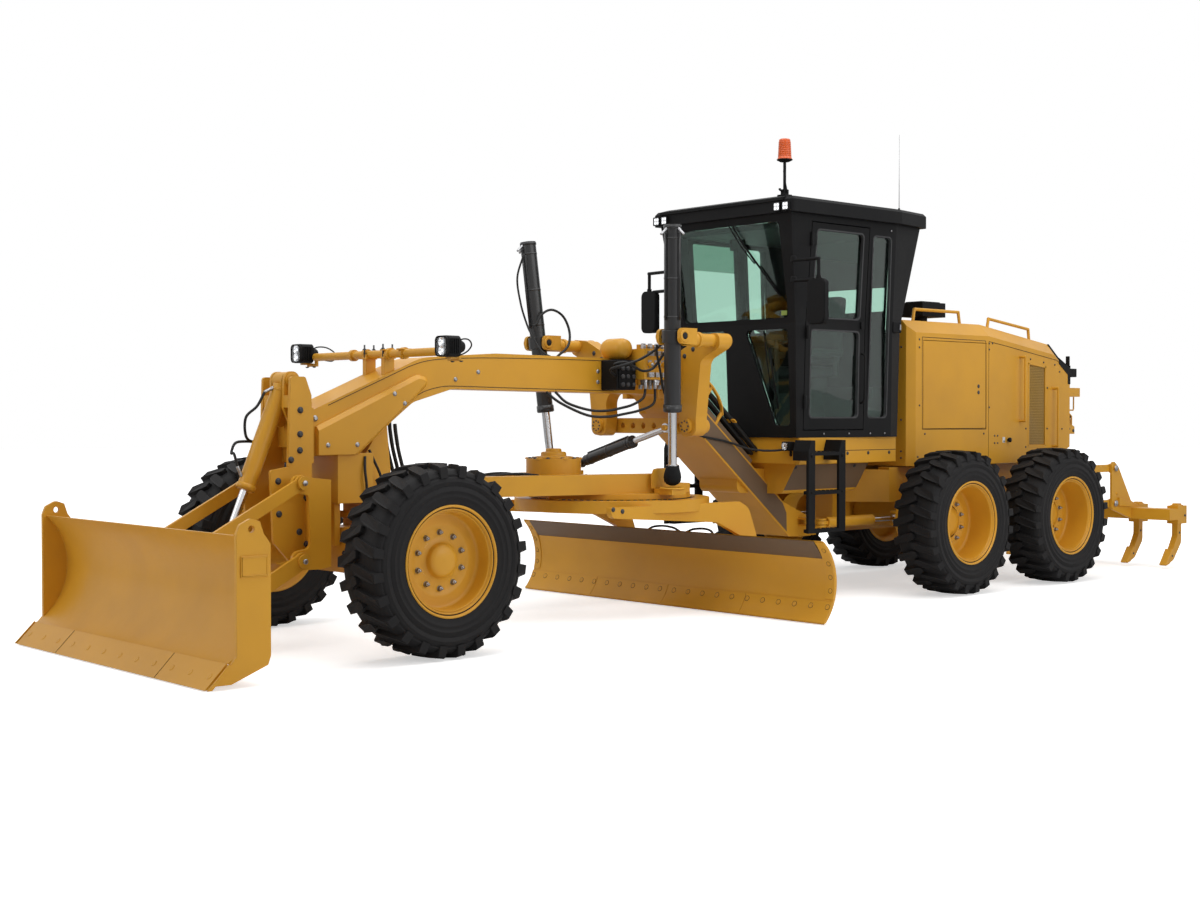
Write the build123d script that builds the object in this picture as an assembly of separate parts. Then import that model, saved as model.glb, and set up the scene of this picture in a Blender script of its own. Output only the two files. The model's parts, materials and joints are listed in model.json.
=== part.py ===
from build123d import *
from math import atan2, cos, degrees, hypot, pi, radians, sin
import os

# Motor grader with a front dozer blade and a rear ripper.
# Millimetres. X forward from the middle of the tandem, Y to the machine's left, Z up from the ground.

# ---- overall driving dimensions ----
wheelbase = 6200            # middle of the tandem to the front axle
tandem_spacing = 1523       # between the two rear wheels of one side
wheel_y = 1040              # centre plane to the middle of a tyre
tyre_radius = 610           # as it stands under load
tyre_width = 393
rim_radius = 317.5          # bead seat of a 25 inch rim
rim_flange_radius = 350.5
rim_half_width = 172
hitch_x = 1550              # articulation axis
spindle_radius = 60
running_gap = 0.05          # radial clearance of every pin and shaft
fit_gap = 0.3               # between pieces that seat on each other
side_gap = 5                # between pieces that pass each other

# ---- main frame ----
frame_half = 150            # half width of the box beam
frame_top = 1937
frame_bottom = 1675
nose_x = 6530
nose_bottom = 1245
nose_top = 1540
leg_half = 240              # half width of the leg that runs down to the hitch
hitch_pin_radius = 45
hitch_levels = (480, 890)   # underside of the lower and the upper hitch fork

# ---- saddle and lift cylinders ----
saddle_x = 3300
saddle_thick = 120
yoke_y = 760                # trunnion of a lift cylinder
yoke_z = 2087
yoke_x = 3837
ball_x = 3760               # foot of a lift rod, over the drawbar
ball_y = 683
ball_z = 1050
lift_barrel_radius = 62
lift_rod_radius = 32
link_pin_y = 500
link_pin_z = 1428
shift_x = 3500              # plane of the centre-shift cylinder
shift_high = (365, 1415)    # y and z of its pin on the saddle
shift_low = (-635, 1128)    # y and z of its eye over the drawbar

# ---- drawbar, circle and moldboard ----
drawbar_pivot_x = 5650
drawbar_pivot_z = 960
circle_x = 3740
circle_radius = 750
circle_inner = 640
circle_top = 885
circle_thick = 90
blade_length = 3360
blade_x = 3218              # cutting edge
blade_clear = 8             # cutting edge above the ground
blade_height = 610
blade_arc = 413
blade_thick = 22
rail_levels = (165, 470)    # underside of the moldboard's two slide rails
rail_high = 40
rail_half = 1350
tip_x = 2985                # tip pivot of the moldboard
tip_z = 300
tip_radius = 30
arm_y = 660
slide_rod = (3025, 420)     # x and z of the side-shift cylinder

# ---- front dozer ----
dozer_width = 2552
dozer_edge_x = 7909
dozer_clear = 8             # cutting edge above the ground
dozer_pin_x = 6700
dozer_pin_high = 1080
dozer_pin_low = 582
dozer_reach = 740           # from a mount pin forward to the blade's pin
dozer_drop = 390
dozer_cyl_top = (6640, 1737)
dozer_cyl_low = (7180, 430)
dozer_ribs = (160, 655)

# ---- cab ----
cab_floor = 1330
roof_top = 3232
wall = 60
cab_rings = (               # level, front x, front y, door pillar y, rear x, rear y
    (1330, 2315, 630, 690, 1050, 655),
    (2250, 2360, 655, 703, 1032, 667),
    (3110, 2500, 730, 745, 775, 680),
)
pillar_x = 1180             # corner where the sides turn in towards the rear
door_x = (1530, 2235)
door_z = (1395, 3050)
door_gap = 8

# ---- engine enclosure and rear frame ----
hood_half = 610
hood_front = 790
hood_rear = -1695
hood_bottom = 1070
hood_top = 2338
hood_bevel = 110
hood_break_x = -360
hood_ridge_x = -1465        # rear end of the sloping top
hood_ridge_z = 2190
hood_wall = 40
engine_door_x = (-315, 620)
engine_door_z = (1395, 2160)
rear_rail_y = 400
rear_end_x = -1990

# ---- ripper ----
ripper_mount_x = -1707
ripper_link_length = 600
ripper_link_y = 697         # middle of a link
ripper_pins = (643, 990)    # height of the lower and the upper pins
ripper_pin_radius = 24
ripper_beam_x = (-2800, -2620)
ripper_beam_half = 1150
shank_pitch = 449
shank_count = 6
ripper_tip_clear = 36
ripper_top = (-1707, 1100)  # x and z of the ripper cylinder's upper pin
ripper_eye = (-2560, 680)   # x and z of its rod eye

# ---- axle ----
axle_z = tyre_radius
axle_pin_z = 720            # oscillation pin
axle_pin_radius = 45
kingpin_y = 790
kingpin_radius = 28
lean_y = 640
lean_z = 520
lean_pin_radius = 30
lean_bar_z = 850
lean_bar_pin_radius = 18
steer_arm = 190             # from the kingpin back to the ball
steer_z = 605


# ---- outlines and simple solids ----
def outline(points):
    """Closed face from (a, b) points, where a third value rounds that corner."""
    face = make_face(Polyline(*[(p[0], p[1]) for p in points], close=True))
    for p in points:
        if len(p) == 3:
            corner = face.vertices().sort_by_distance((p[0], p[1], 0))[0]
            face = fillet(corner, p[2])
    return face


def side(points, y_from, y_to):
    """Plate with an outline in X and Z, between two Y values."""
    plane = Plane(origin=(0, y_to, 0), x_dir=(1, 0, 0), z_dir=(0, -1, 0))
    return extrude(plane * outline(points), amount=y_to - y_from)


def cross(points, x_from, x_to):
    """Plate with an outline in Y and Z, between two X values."""
    plane = Plane(origin=(x_from, 0, 0), x_dir=(0, 1, 0), z_dir=(1, 0, 0))
    return extrude(plane * outline(points), amount=x_to - x_from)


def flat(points, z_from, z_to):
    """Plate with an outline in X and Y, between two Z values."""
    return extrude(Plane.XY.offset(z_from) * outline(points), amount=z_to - z_from)


def block(x_from, x_to, y_from, y_to, z_from, z_to):
    size = (x_to - x_from, y_to - y_from, z_to - z_from)
    return Pos(x_from, y_from, z_from) * Box(*size, align=(Align.MIN, Align.MIN, Align.MIN))


def rod(start, end, radius):
    start, end = Vector(*start), Vector(*end)
    plane = Plane(origin=start, z_dir=end - start)
    return plane * Cylinder(radius, (end - start).length, align=(Align.CENTER, Align.CENTER, Align.MIN))


def post(x, y, z_from, radius, height):
    """Upright round bar standing on a level."""
    return Pos(x, y, z_from) * Cylinder(radius, height, align=(Align.CENTER, Align.CENTER, Align.MIN))


def bar_x(x_from, x_to, y, z, radius):
    """Round bar along X."""
    return rod((x_from, y, z), (x_to, y, z), radius)


def bar_y(x, y_from, y_to, z, radius):
    """Round bar along Y."""
    return rod((x, y_from, z), (x, y_to, z), radius)


def along(start, end, distance):
    """Point at a distance from start towards end."""
    start, end = Vector(*start), Vector(*end)
    step = (end - start).normalized() * distance
    return tuple(start + step)


def both_sides(piece):
    """The piece and its mirror image across the centre plane."""
    return piece + mirror(piece, about=Plane.XZ)


def other_side(piece):
    return mirror(piece, about=Plane.XZ)


def turned(points, y_centre):
    """Solid of revolution about a Y axis from (radius, y) points."""
    return Pos(0, y_centre, 0) * revolve(outline(points), axis=Axis.Y)


# ---- wheels ----
def hub_end(disc_offset, cap_length):
    """Inner face of the hub cap, measured from the centre plane of the machine."""
    return wheel_y + disc_offset + cap_length - 20


def wheel(x, disc_offset, cap_length):
    """Left tyre, rim with its disc, hub and nuts."""
    half = tyre_width / 2
    bead = rim_radius + fit_gap
    tyre = turned([(bead, -rim_half_width + 1), (bead + 35, -rim_half_width), (480, -half),
                   (tyre_radius - 60, -half + 3), (tyre_radius - 22, -half + 14), (tyre_radius, -half + 40),
                   (tyre_radius, half - 40), (tyre_radius - 22, half - 14), (tyre_radius - 60, half - 3),
                   (480, half), (bead + 35, rim_half_width), (bead, rim_half_width - 1),
                   (bead, rim_half_width - 50), (480, half - 32), (tyre_radius - 60, half - 50),
                   (tyre_radius - 60, -half + 50), (480, -half + 32), (bead, -rim_half_width + 50)], 0)
    lip = rim_half_width + fit_gap
    rim = turned([(rim_radius, -lip), (rim_flange_radius, -lip), (rim_flange_radius, -lip - 14),
                  (rim_radius - 12, -lip - 14), (rim_radius - 14, disc_offset - 10),
                  (150, disc_offset - 10), (150, disc_offset + 12), (rim_radius - 14, disc_offset + 12),
                  (rim_radius - 12, lip + 14), (rim_flange_radius, lip + 14),
                  (rim_flange_radius, lip), (rim_radius, lip)], 0)
    bore = spindle_radius + running_gap
    cap = disc_offset + cap_length
    hub = turned([(bore, disc_offset - 100), (110, disc_offset - 100), (110, disc_offset - 40),
                  (200, disc_offset - 40), (200, disc_offset - 10.3), (149.7, disc_offset - 10.3),
                  (149.7, disc_offset + 30), (120, cap, 20), (0, cap), (0, cap - 20), (bore, cap - 20)], 0)
    nut = Rot(-90, 0, 0) * Cylinder(16, 22, align=(Align.CENTER, Align.CENTER, Align.MIN))
    nuts = [Pos(175 * cos(a), disc_offset + 12.3, 175 * sin(a)) * nut
            for a in (2 * pi * i / 10 for i in range(10))]
    return Compound(children=[(Pos(x, wheel_y, axle_z) * s).solids()[0] for s in [tyre, rim, hub] + nuts])


# ---- front axle, leaning carriers and knuckles ----
def front_axle():
    beam = cross([(-520, 470, 30), (520, 470, 30), (520, 640, 30), (330, 700), (180, 770, 40),
                  (-180, 770, 40), (-330, 700), (-520, 640, 30)], wheelbase - 80, wheelbase + 80)
    beam += rod((wheelbase - 140, 0, axle_pin_z), (wheelbase + 140, 0, axle_pin_z), axle_pin_radius)
    for x in (wheelbase - 110, wheelbase + 80):
        beam += both_sides(block(x, x + 30, 440, lean_y, lean_z - 46, lean_z + 46)
                           + rod((x, lean_y, lean_z), (x + 30, lean_y, lean_z), 46))
    beam += both_sides(bar_x(wheelbase - 110, wheelbase + 110, lean_y, lean_z, lean_pin_radius))
    tube_x = wheelbase - steer_arm
    tube = rod((tube_x, -190, steer_z), (tube_x, 190, steer_z), 46)
    tube += both_sides(block(tube_x, wheelbase - 79, 100, 150, steer_z - 40, steer_z + 40))
    tube -= rod((tube_x, -200, steer_z), (tube_x, 200, steer_z), 22 + running_gap)
    return beam + tube


def lean_carrier():
    """Left carrier between the axle's fork and the kingpin."""
    thick = 80 - side_gap
    body = cross([(lean_y - 45, lean_z - 45, 20), (lean_y + 45, lean_z - 45, 20), (720, 500), (720, 535),
                  (690, 560), (690, 700), (720, 720), (720, 765), (685, 790), (685, 890, 30),
                  (lean_y - 40, 890, 30), (lean_y - 35, 740)],
                 wheelbase - thick, wheelbase + thick)
    for z_from in (490, 720):
        body += block(wheelbase - 60, wheelbase + 60, 700, kingpin_y, z_from, z_from + 45)
        body += post(wheelbase, kingpin_y, z_from, 60, 45)
    body -= rod((wheelbase - 120, lean_y, lean_z), (wheelbase + 120, lean_y, lean_z),
                lean_pin_radius + running_gap)
    body -= rod((wheelbase, kingpin_y, 480), (wheelbase, kingpin_y, 780), kingpin_radius + running_gap)
    body -= block(wheelbase - 32, wheelbase + 32, 590, 700, 790, 900)
    for x_from, x_to in ((wheelbase - 90, wheelbase - 40), (wheelbase + 40, wheelbase + 90)):
        body -= block(x_from, x_to, 655, 730, 536, 719)
    return body + rod((wheelbase - 70, lean_y, lean_bar_z), (wheelbase + 70, lean_y, lean_bar_z),
                      lean_bar_pin_radius)


def lean_bar():
    bar = rod((wheelbase, -lean_y + 25, lean_bar_z), (wheelbase, lean_y - 25, lean_bar_z), 24)
    bar += both_sides(rod((wheelbase - 26, lean_y, lean_bar_z), (wheelbase + 26, lean_y, lean_bar_z), 34))
    return bar - both_sides(rod((wheelbase - 30, lean_y, lean_bar_z), (wheelbase + 30, lean_y, lean_bar_z),
                                lean_bar_pin_radius + running_gap))


def knuckle():
    """Left knuckle with its kingpin, spindle and steering arm."""
    body = rod((wheelbase, kingpin_y, 540), (wheelbase, kingpin_y, 715), 62)
    body += rod((wheelbase, kingpin_y, 482), (wheelbase, kingpin_y, 775), kingpin_radius)
    body += rod((wheelbase, kingpin_y, axle_z), (wheelbase, hub_end(40, 70) - 5, axle_z), spindle_radius)
    body += rod((wheelbase, kingpin_y + 45, axle_z), (wheelbase, kingpin_y + 95, axle_z), 70)
    back = wheelbase - steer_arm - 20
    arm = flat([(wheelbase, kingpin_y - 45), (wheelbase, kingpin_y + 35), (back, kingpin_y + 20, 18),
                (back, kingpin_y - 20, 18)], steer_z - 20, steer_z + 20)
    return body + arm


def tie_rod():
    """Rod through the steering cylinder, with a ball housing beside each steering arm."""
    x = wheelbase - steer_arm
    end = kingpin_y - 70
    return rod((x, -end, steer_z), (x, end, steer_z), 22) \
        + both_sides(rod((x, end - 50, steer_z), (x, end, steer_z), 30))


# ---- main frame ----
def frame_beam():
    return side([(nose_x, nose_bottom), (nose_x, nose_top), (5650, 1905, 400), (5000, 1950, 600),
                 (3442, frame_top, 150), (2030, 795, 80), (hitch_x + 60, 620), (hitch_x + 60, 500),
                 (1955, 500, 60), (3404, frame_bottom, 150), (5380, 1695, 250), (5720, 1600, 150),
                 (6199, nose_bottom)], -frame_half, frame_half)


def main_frame():
    leg = side([(3265, 1795), (2030, 795, 80), (hitch_x + 60, 620), (hitch_x + 60, 500), (1955, 500, 60),
                (3220, 1525)], -leg_half, leg_half)
    upper = side([(2560, 1080), (2560, 880, 60), (hitch_x + 75, 880), (hitch_x + 75, 1060)], -210, 210)
    bolster = block(6060, 6340, -170, 170, 930, 1260)
    for x in (wheelbase - 135, wheelbase + 90):
        bolster += block(x, x + 45, -120, 120, 650, 931)
    bolster -= bar_x(wheelbase - 150, wheelbase + 150, 0, axle_pin_z, axle_pin_radius + fit_gap)
    cover = side([(6500, 1252), (6500, 1440), (5700, 1790, 60), (5570, 1760, 40), (5720, 1622), (6175, 1252)],
                 frame_half - 10, frame_half + 45)
    outer_face = cover.faces().sort_by(Axis.Y)[-1]
    slope_edges = outer_face.edges().filter_by(GeomType.LINE).sort_by(SortBy.LENGTH)[-1]
    cover = chamfer(slope_edges, 28)
    platform = flat([(2300, -650), (2300, 650), (1060, 650), (1060, -650)], 1120, cab_floor - fit_gap)
    hull = cross([(-560, 1130), (560, 1130), (400, 870, 40), (-400, 870, 40)], 1300, 2230)
    hull -= block(1290, hitch_x + 100, -330, 330, 800, 1118)
    neck_x = drawbar_pivot_x + 75
    pivot = side([(6070, 1250), (6070, 930), (neck_x, 900, 20), (neck_x, 1030, 20),
                  (5860, 1080), (5900, 1500)], -90, 90)
    pivot += both_sides(side([(neck_x + 20, 900), (neck_x + 20, 1030), (5610, 1030, 60),
                              (5590, 900, 60)], 55, 90))
    pivot += bar_y(drawbar_pivot_x, -100, 100, drawbar_pivot_z, 30)
    piece = frame_beam() + leg + upper + bolster + platform + hull + pivot + both_sides(cover)
    for low in hitch_levels:
        for z in (low, low + 110):
            piece += flat([(hitch_x + 160, -130), (hitch_x + 160, 130), (hitch_x - 75, 90, 60),
                           (hitch_x - 75, -90, 60)], z, z + 45)
        piece += rod((hitch_x, 0, low), (hitch_x, 0, low + 155), hitch_pin_radius)
    for z in (585, 640):
        piece += both_sides(flat([(1755, leg_half - 20), (1845, leg_half - 20),
                                  (1845, 495, 40), (1755, 495, 40)], z, z + 15))
    return piece + both_sides(rod((1800, 450, 585), (1800, 450, 655), 25))


def lift_saddle():
    """Left arm with its yoke, mirrored, with the link bar below the beam."""
    x0, x1 = saddle_x, saddle_x + saddle_thick
    inner = frame_half + fit_gap
    arm = cross([(inner, 1700), (inner, 1930), (400, 1990, 80), (650, 2110, 50), (830, 2130, 50),
                 (840, 2020, 50), (640, 1930, 80), (590, 1500, 60), (590, 1360, 60), (430, 1340, 60),
                 (410, 1500, 80), (420, 1690, 100)], x0, x1)
    arm += rod((x0, yoke_y, 2070), (yoke_x - 90, yoke_y, 2070), 48)
    arm += block(yoke_x - 130, yoke_x - 90, yoke_y - 125, yoke_y + 125, 2025, 2145)
    ear = side([(yoke_x - 120, 2025), (yoke_x - 120, 2145), (yoke_x + 45, 2145, 40),
                (yoke_x + 45, 2030, 40)], 0, 30)
    for y in (yoke_y - 125, yoke_y + 95):
        arm += Pos(0, y, 0) * ear
    arm -= bar_y(yoke_x, yoke_y - 150, yoke_y + 150, yoke_z, 24 + running_gap)
    arm += rod((x0 - 70, link_pin_y, link_pin_z), (x1 + 30, link_pin_y, link_pin_z), 55)
    arm += block(x0 - 20, x1 + 20, inner, frame_half + 50, 1640, 1990)
    bar = block(x0 - 60, x0 - 10, -link_pin_y, link_pin_y, 1368, 1488)
    for i in range(-3, 4):
        bar -= rod((x0 - 70, 120 * i, link_pin_z), (x0, 120 * i, link_pin_z), 24)
    bar += block(x0 - 20, x1 + 20, -frame_half - 50, frame_half + 50, 1955, 1990)
    y, z = shift_high
    bar += block(x0 - 15, shift_x - 35, y - 30, y + 30, z - 35, z + 35)
    bar += rod((shift_x - 36, y, z), (shift_x + 45, y, z), 22)
    return both_sides(arm) + bar


def valve_block():
    body = block(3480, 3790, frame_half + 5, 410, 1780, 2010)
    for x in (3520, 3590, 3660, 3730):
        body += rod((x, 300, 1740), (x, 300, 2045), 24)
        body += rod((x, 405, 1890), (x, 440, 1890), 22)
    return body


def front_lamps():
    """Lamp pods at the ends of the bar, each with a round-cornered face and a tapering back."""
    shell = block(5905, 6000, 800, 932, 1884, 2020)
    shell = fillet(shell.edges().filter_by(Axis.X), 34)
    back = Pos(5876, 866, 1952) * Rot(0, -90, 0) * Cone(62, 34, 60)
    return both_sides(shell + back)


def lamp_bar():
    tube = rod((5900, -785, 1925), (5900, 785, 1925), 28)
    feet = both_sides(block(5860, 5940, 90, 130, 1760, 1925)) - frame_beam()
    bracket = both_sides(block(5880, 5900, 780, 900, 1860, 1880) + block(5880, 5900, 780, 800, 1880, 1925))
    bracket += both_sides(block(5880, 5960, 840, 892, 1872, 1883.5))
    for y in (140, 300):
        bracket += both_sides(rod((5900, y - 16, 1925), (5900, y + 16, 1925), 40))
    upper_feet = feet.solids().sort_by(Axis.Z)[-2:]
    return tube + upper_feet[0] + upper_feet[1] + bracket


def dozer_mount():
    tall = side([(6545, 560), (6545, 1640), (6590, 1760, 20), (6700, 1760, 20), (6720, 1180),
                 (6850, 1160, 20), (6830, 700, 40), (6700, 560, 40)], frame_half + 5, frame_half + 30)
    outer = side([(6470, 530), (6470, 1095), (6600, 1110), (6760, 1140, 55), (6760, 1020, 55),
                  (6640, 1000, 20), (6625, 660, 40), (6760, 640, 55), (6760, 525, 55),
                  (6560, 520, 20)], 262, 290)
    half = tall + outer
    for z in (dozer_pin_high, dozer_pin_low):
        half += rod((dozer_pin_x, 255, z), (dozer_pin_x, 345, z), 28)
        half += rod((dozer_pin_x, 328, z), (dozer_pin_x, 345, z), 44)
    half += block(6560, 6700, 85, frame_half + 10, 1560, 1640)
    half += side([(6560, 1560), (6560, 1720, 30), (6600, 1795, 50), (6690, 1795, 50),
                  (6700, 1560, 30), (6620, 1380, 30)], 66, 90)
    middle = block(6545, 6600, -270, 270, 600, 1090)
    middle += block(nose_x + fit_gap, nose_x + 30, -180, 180, 1200, 1560)
    middle += block(nose_x + fit_gap, 6590, -frame_half - 10, frame_half + 10, 1300, 1600)
    x, z = dozer_cyl_top
    return both_sides(half) + middle + rod((x, -100, z), (x, 100, z), 26)


# ---- front dozer blade ----
def arm_between(pin_a, pin_b, y, half, boss, hole):
    """Flat arm with a round boss at each (x, z) pin."""
    ax, az = pin_a
    bx, bz = pin_b
    length = hypot(bx - ax, bz - az)
    ux, uz = (bx - ax) / length, (bz - az) / length
    nx, nz = -uz * half, ux * half
    body = side([(ax + nx, az + nz), (bx + nx, bz + nz), (bx - nx, bz - nz), (ax - nx, az - nz)], y, y + 26)
    for px, pz in (pin_a, pin_b):
        body += bar_y(px, y, y + 26, pz, boss)
    for px, pz in (pin_a, pin_b):
        body -= bar_y(px, y - 1, y + 27, pz, hole + running_gap)
    return body


def dozer_upper_arms():
    high = (dozer_pin_x, dozer_pin_high)
    front = (dozer_pin_x + dozer_reach, dozer_pin_high - dozer_drop)
    return both_sides(arm_between(high, front, 295, 40, 50, 28))


def dozer_lower_arms():
    low = (dozer_pin_x, dozer_pin_low)
    front = (dozer_pin_x + dozer_reach, dozer_pin_low - dozer_drop)
    arms = both_sides(arm_between(low, front, 295, 50, 55, 28))
    x, z = dozer_cyl_low
    tube_x, tube_z = x - 72, z - 66
    tube = rod((tube_x, -300, tube_z), (tube_x, 300, tube_z), 45)
    ear = side([(tube_x - 10, tube_z - 35), (tube_x - 35, tube_z + 10), (x - 25, z + 45, 30),
                (x + 42, z + 10, 30)], 52, 74)
    heads = both_sides(rod((x, 74, z), (x, 86, z), 26))
    return arms + tube + both_sides(ear) + heads


def dozer_blade():
    """Curved sheet with end plates, ribs, ears with their pins, and the cutting edge."""
    half = dozer_width / 2
    plate_half = half - 24
    top, middle, foot = (7698, 844), (7560, 480), (7768, 141)
    depth = blade_thick
    plane = Plane(origin=(0, plate_half, 0), x_dir=(1, 0, 0), z_dir=(0, -1, 0))
    front = ThreePointArc(top, middle, foot)
    back_foot, back_top = (foot[0] - depth, foot[1] - 8), (top[0] - depth, top[1])
    back = ThreePointArc(back_foot, (middle[0] - depth, middle[1]), back_top)
    sheet_face = make_face(Wire([front, Line(foot, back_foot), back, Line(back_top, top)]))
    behind_face = make_face(Wire([front, Line(foot, (7400, foot[1])), Line((7400, foot[1]), (7400, top[1])),
                                  Line((7400, top[1]), top)]))
    sheet = extrude(plane * sheet_face, amount=2 * plate_half)
    behind = extrude(plane * behind_face, amount=2 * plate_half)
    end = side([(7507, 166, 50), (7525, 115), (7758, 27), (7860, 28), (7723, 176), (7723, 852),
                (7702, 905, 20), (7632, 940, 40), (7574, 920), (7551, 852), (7507, 793)],
               plate_half, half)
    end -= rod((7629, plate_half - 1, 880), (7629, half + 1, 880), 20)
    backing = block(7512, 7640, -plate_half, plate_half, dozer_ribs[1], dozer_ribs[1] + 65)
    backing += block(7512, 7660, -plate_half, plate_half, dozer_ribs[0], dozer_ribs[0] + 70)
    reach = dozer_pin_x + dozer_reach
    for z in (dozer_pin_high - dozer_drop, dozer_pin_low - dozer_drop):
        ear = side([(reach - 50, z - 45, 30), (reach - 50, z + 45, 30), (7620, z + 60),
                    (7620, z - 50)], 0, 22)
        for y in (268, 326):
            backing += both_sides(Pos(0, y, 0) * ear)
    piece = sheet + (backing & behind)
    for z in (dozer_pin_high - dozer_drop, dozer_pin_low - dozer_drop):
        piece += both_sides(rod((reach, 262, z), (reach, 354, z), 28))
    piece += both_sides(end)
    edge = side([(dozer_edge_x, dozer_clear), (7773, 144), (7760, 128), (7880, dozer_clear)], -1285, 1285)
    edge -= both_sides(block(7700, 7950, plate_half - fit_gap, half + fit_gap, 0, 200))
    return Compound(children=list(piece.solids()) + list(edge.solids()))


def cylinder_barrel(pin, target, length, radius, rod_radius, eye_width, eye_hole):
    """Barrel from a pin towards a target point, bored for its rod, with an eye that turns about Y."""
    end = along(pin, target, length)
    start = along(pin, target, 40)
    body = rod(start, end, radius)
    body += rod(end, along(pin, target, length + 25), radius * 0.9)
    body -= rod(along(pin, target, 90), along(pin, target, length + 30), rod_radius + running_gap)
    x, y, z = pin
    eye = bar_y(x, y - eye_width / 2, y + eye_width / 2, z, radius * 0.95)
    return body + eye - bar_y(x, y - eye_width, y + eye_width, z, eye_hole + running_gap)


def cylinder_rod(pin, target, length, radius, eye_radius, eye_width):
    """Rod towards the barrel, with a closed eye that turns about Y between two ears."""
    body = rod(along(pin, target, eye_radius * 0.7), along(pin, target, length), radius)
    return body + bar_y(pin[0], pin[1] - eye_width / 2, pin[1] + eye_width / 2, pin[2], eye_radius)


def dozer_cylinder():
    top = (dozer_cyl_top[0], 0, dozer_cyl_top[1])
    low = (dozer_cyl_low[0], 0, dozer_cyl_low[1])
    barrel = cylinder_barrel(top, low, 740, 58, 27, 120, 26)
    return barrel, cylinder_rod(low, top, 930, 27, 44, 90)


# ---- drawbar, circle, moldboard ----
def drawbar():
    """A-shaped drawbar with its front eye, circle drive, guide plate and the seats of the lift rods."""
    beams = flat([(5600, 50), (3640, 575, 40), (3450, 575, 30), (3450, 440), (3640, 440),
                  (5050, 70, 60), (5050, -70, 60), (3640, -440), (3450, -440), (3450, -575, 30),
                  (3640, -575, 40), (5600, -50)], 930, 1075)
    body = beams & (block(3400, 5560, -700, 700, 900, 1000) + block(3640, 5560, -700, 700, 1000, 1100))
    body += block(5540, drawbar_pivot_x, -50, 50, 930, 990)
    body += bar_y(drawbar_pivot_x, -50, 50, drawbar_pivot_z, 60)
    body -= bar_y(drawbar_pivot_x, -60, 60, drawbar_pivot_z, 30 + running_gap)
    body += block(4080, 4600, -300, 300, 1000, 1060)
    for z, radius, height in ((1060, 205, 130), (815, 44, 200)):
        body += post(4330, 0, z, radius, height)
    guide = post(circle_x, 0, circle_top + side_gap, 620, 42) - post(circle_x, 0, 800, 510, 300)
    body += guide & block(3420, 4500, -700, 700, 800, 1000)
    body += both_sides(block(3690, 3830, 560, 750, 925, 968))
    y, z = shift_low
    body += block(shift_x - 20, shift_x + 70, y - 50, y + 80, 945, 1000)
    body += cross([(y - 50, 990), (y - 50, z + 40, 40), (y + 40, z + 40, 40), (y + 40, 990)],
                  shift_x + 50, shift_x + 70)
    return body


def circle():
    low = circle_top - circle_thick
    ring = post(circle_x, 0, low, circle_radius, circle_thick)
    ring -= post(circle_x, 0, low, circle_inner, circle_thick)
    arm = side([(4400, 850), (4400, 775, 50), (3300, 700, 150), (2990, 560, 100), (2990, 380), (tip_x, tip_z),
                (2935, 320), (2860, 560, 120), (2960, 800, 120), (3060, 850)], arm_y, arm_y + 50)
    arm += rod((tip_x, arm_y, tip_z), (tip_x, arm_y + 50, tip_z), 56)
    arm -= rod((tip_x, arm_y - 1, tip_z), (tip_x, arm_y + 51, tip_z), tip_radius + running_gap)
    cross_bar = block(3320, 3430, -arm_y - 20, arm_y + 20, 725, 800)
    return ring + both_sides(arm) + cross_bar


def blade_section(x0, z0, height, radius, thick):
    """Wire in X and Z of a curved sheet, hollow side forward."""
    lean = 20
    chord = hypot(lean, height)
    sagitta = radius - (radius ** 2 - (chord / 2) ** 2) ** 0.5
    top = (x0 + lean, z0 + height)
    middle = (x0 + lean / 2 - sagitta, z0 + height / 2)
    back_low, back_top = (x0 - thick, z0 + thick / 2), (top[0] - thick, top[1] - thick / 2)
    return Wire([ThreePointArc((x0, z0), middle, top), Line(top, back_top),
                 ThreePointArc(back_top, (middle[0] - thick, middle[1]), back_low), Line(back_low, (x0, z0))])


def moldboard():
    half = blade_length / 2
    plane = Plane(origin=(0, half, 0), x_dir=(1, 0, 0), z_dir=(0, -1, 0))
    section = blade_section(blade_x, blade_clear, blade_height - blade_clear, blade_arc, blade_thick)
    piece = extrude(plane * make_face(section), amount=2 * half)
    for z, depth in zip(rail_levels, (3108, 3123)):
        piece += block(3040, depth, -rail_half, rail_half, z, z + rail_high)
    x, z = slide_rod
    piece += rod((x, -1410, z), (x, 620, z), 18)
    return piece + block(x - 20, 3108, -1430, -1390, z - 30, z + 30)


def tip_bracket():
    """Carrier that turns on the circle's arms, holds the slide rails and the side-shift cylinder."""
    cheek = side([(2945, 270, 30), (2945, 560, 30), (3025, 580), (3025, 150), (tip_x, 150, 30)],
                 arm_y - 60, arm_y - side_gap)
    for z in rail_levels:
        jaw = block(3015, 3075, arm_y - 110, arm_y - side_gap, z - 30, z + rail_high + 30)
        cheek += jaw - block(3035, 3080, arm_y - 120, arm_y, z - side_gap, z + rail_high + side_gap)
    cheek += rod((tip_x, arm_y - 60, tip_z), (tip_x, arm_y + 60, tip_z), tip_radius)
    x, z = slide_rod
    cheek -= rod((x, arm_y - 120, z), (x, arm_y, z), 18 + side_gap)
    beam = block(2930, 3000, -arm_y + 10, arm_y - 10, 520, 575)
    barrel = rod((x, -450, z), (x, 450, z), 34)
    barrel += both_sides(block(2960, x, 380, 440, z - 25, 530))
    barrel -= rod((x, -460, z), (x, 460, z), 18 + running_gap)
    return both_sides(cheek) + beam + barrel


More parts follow.
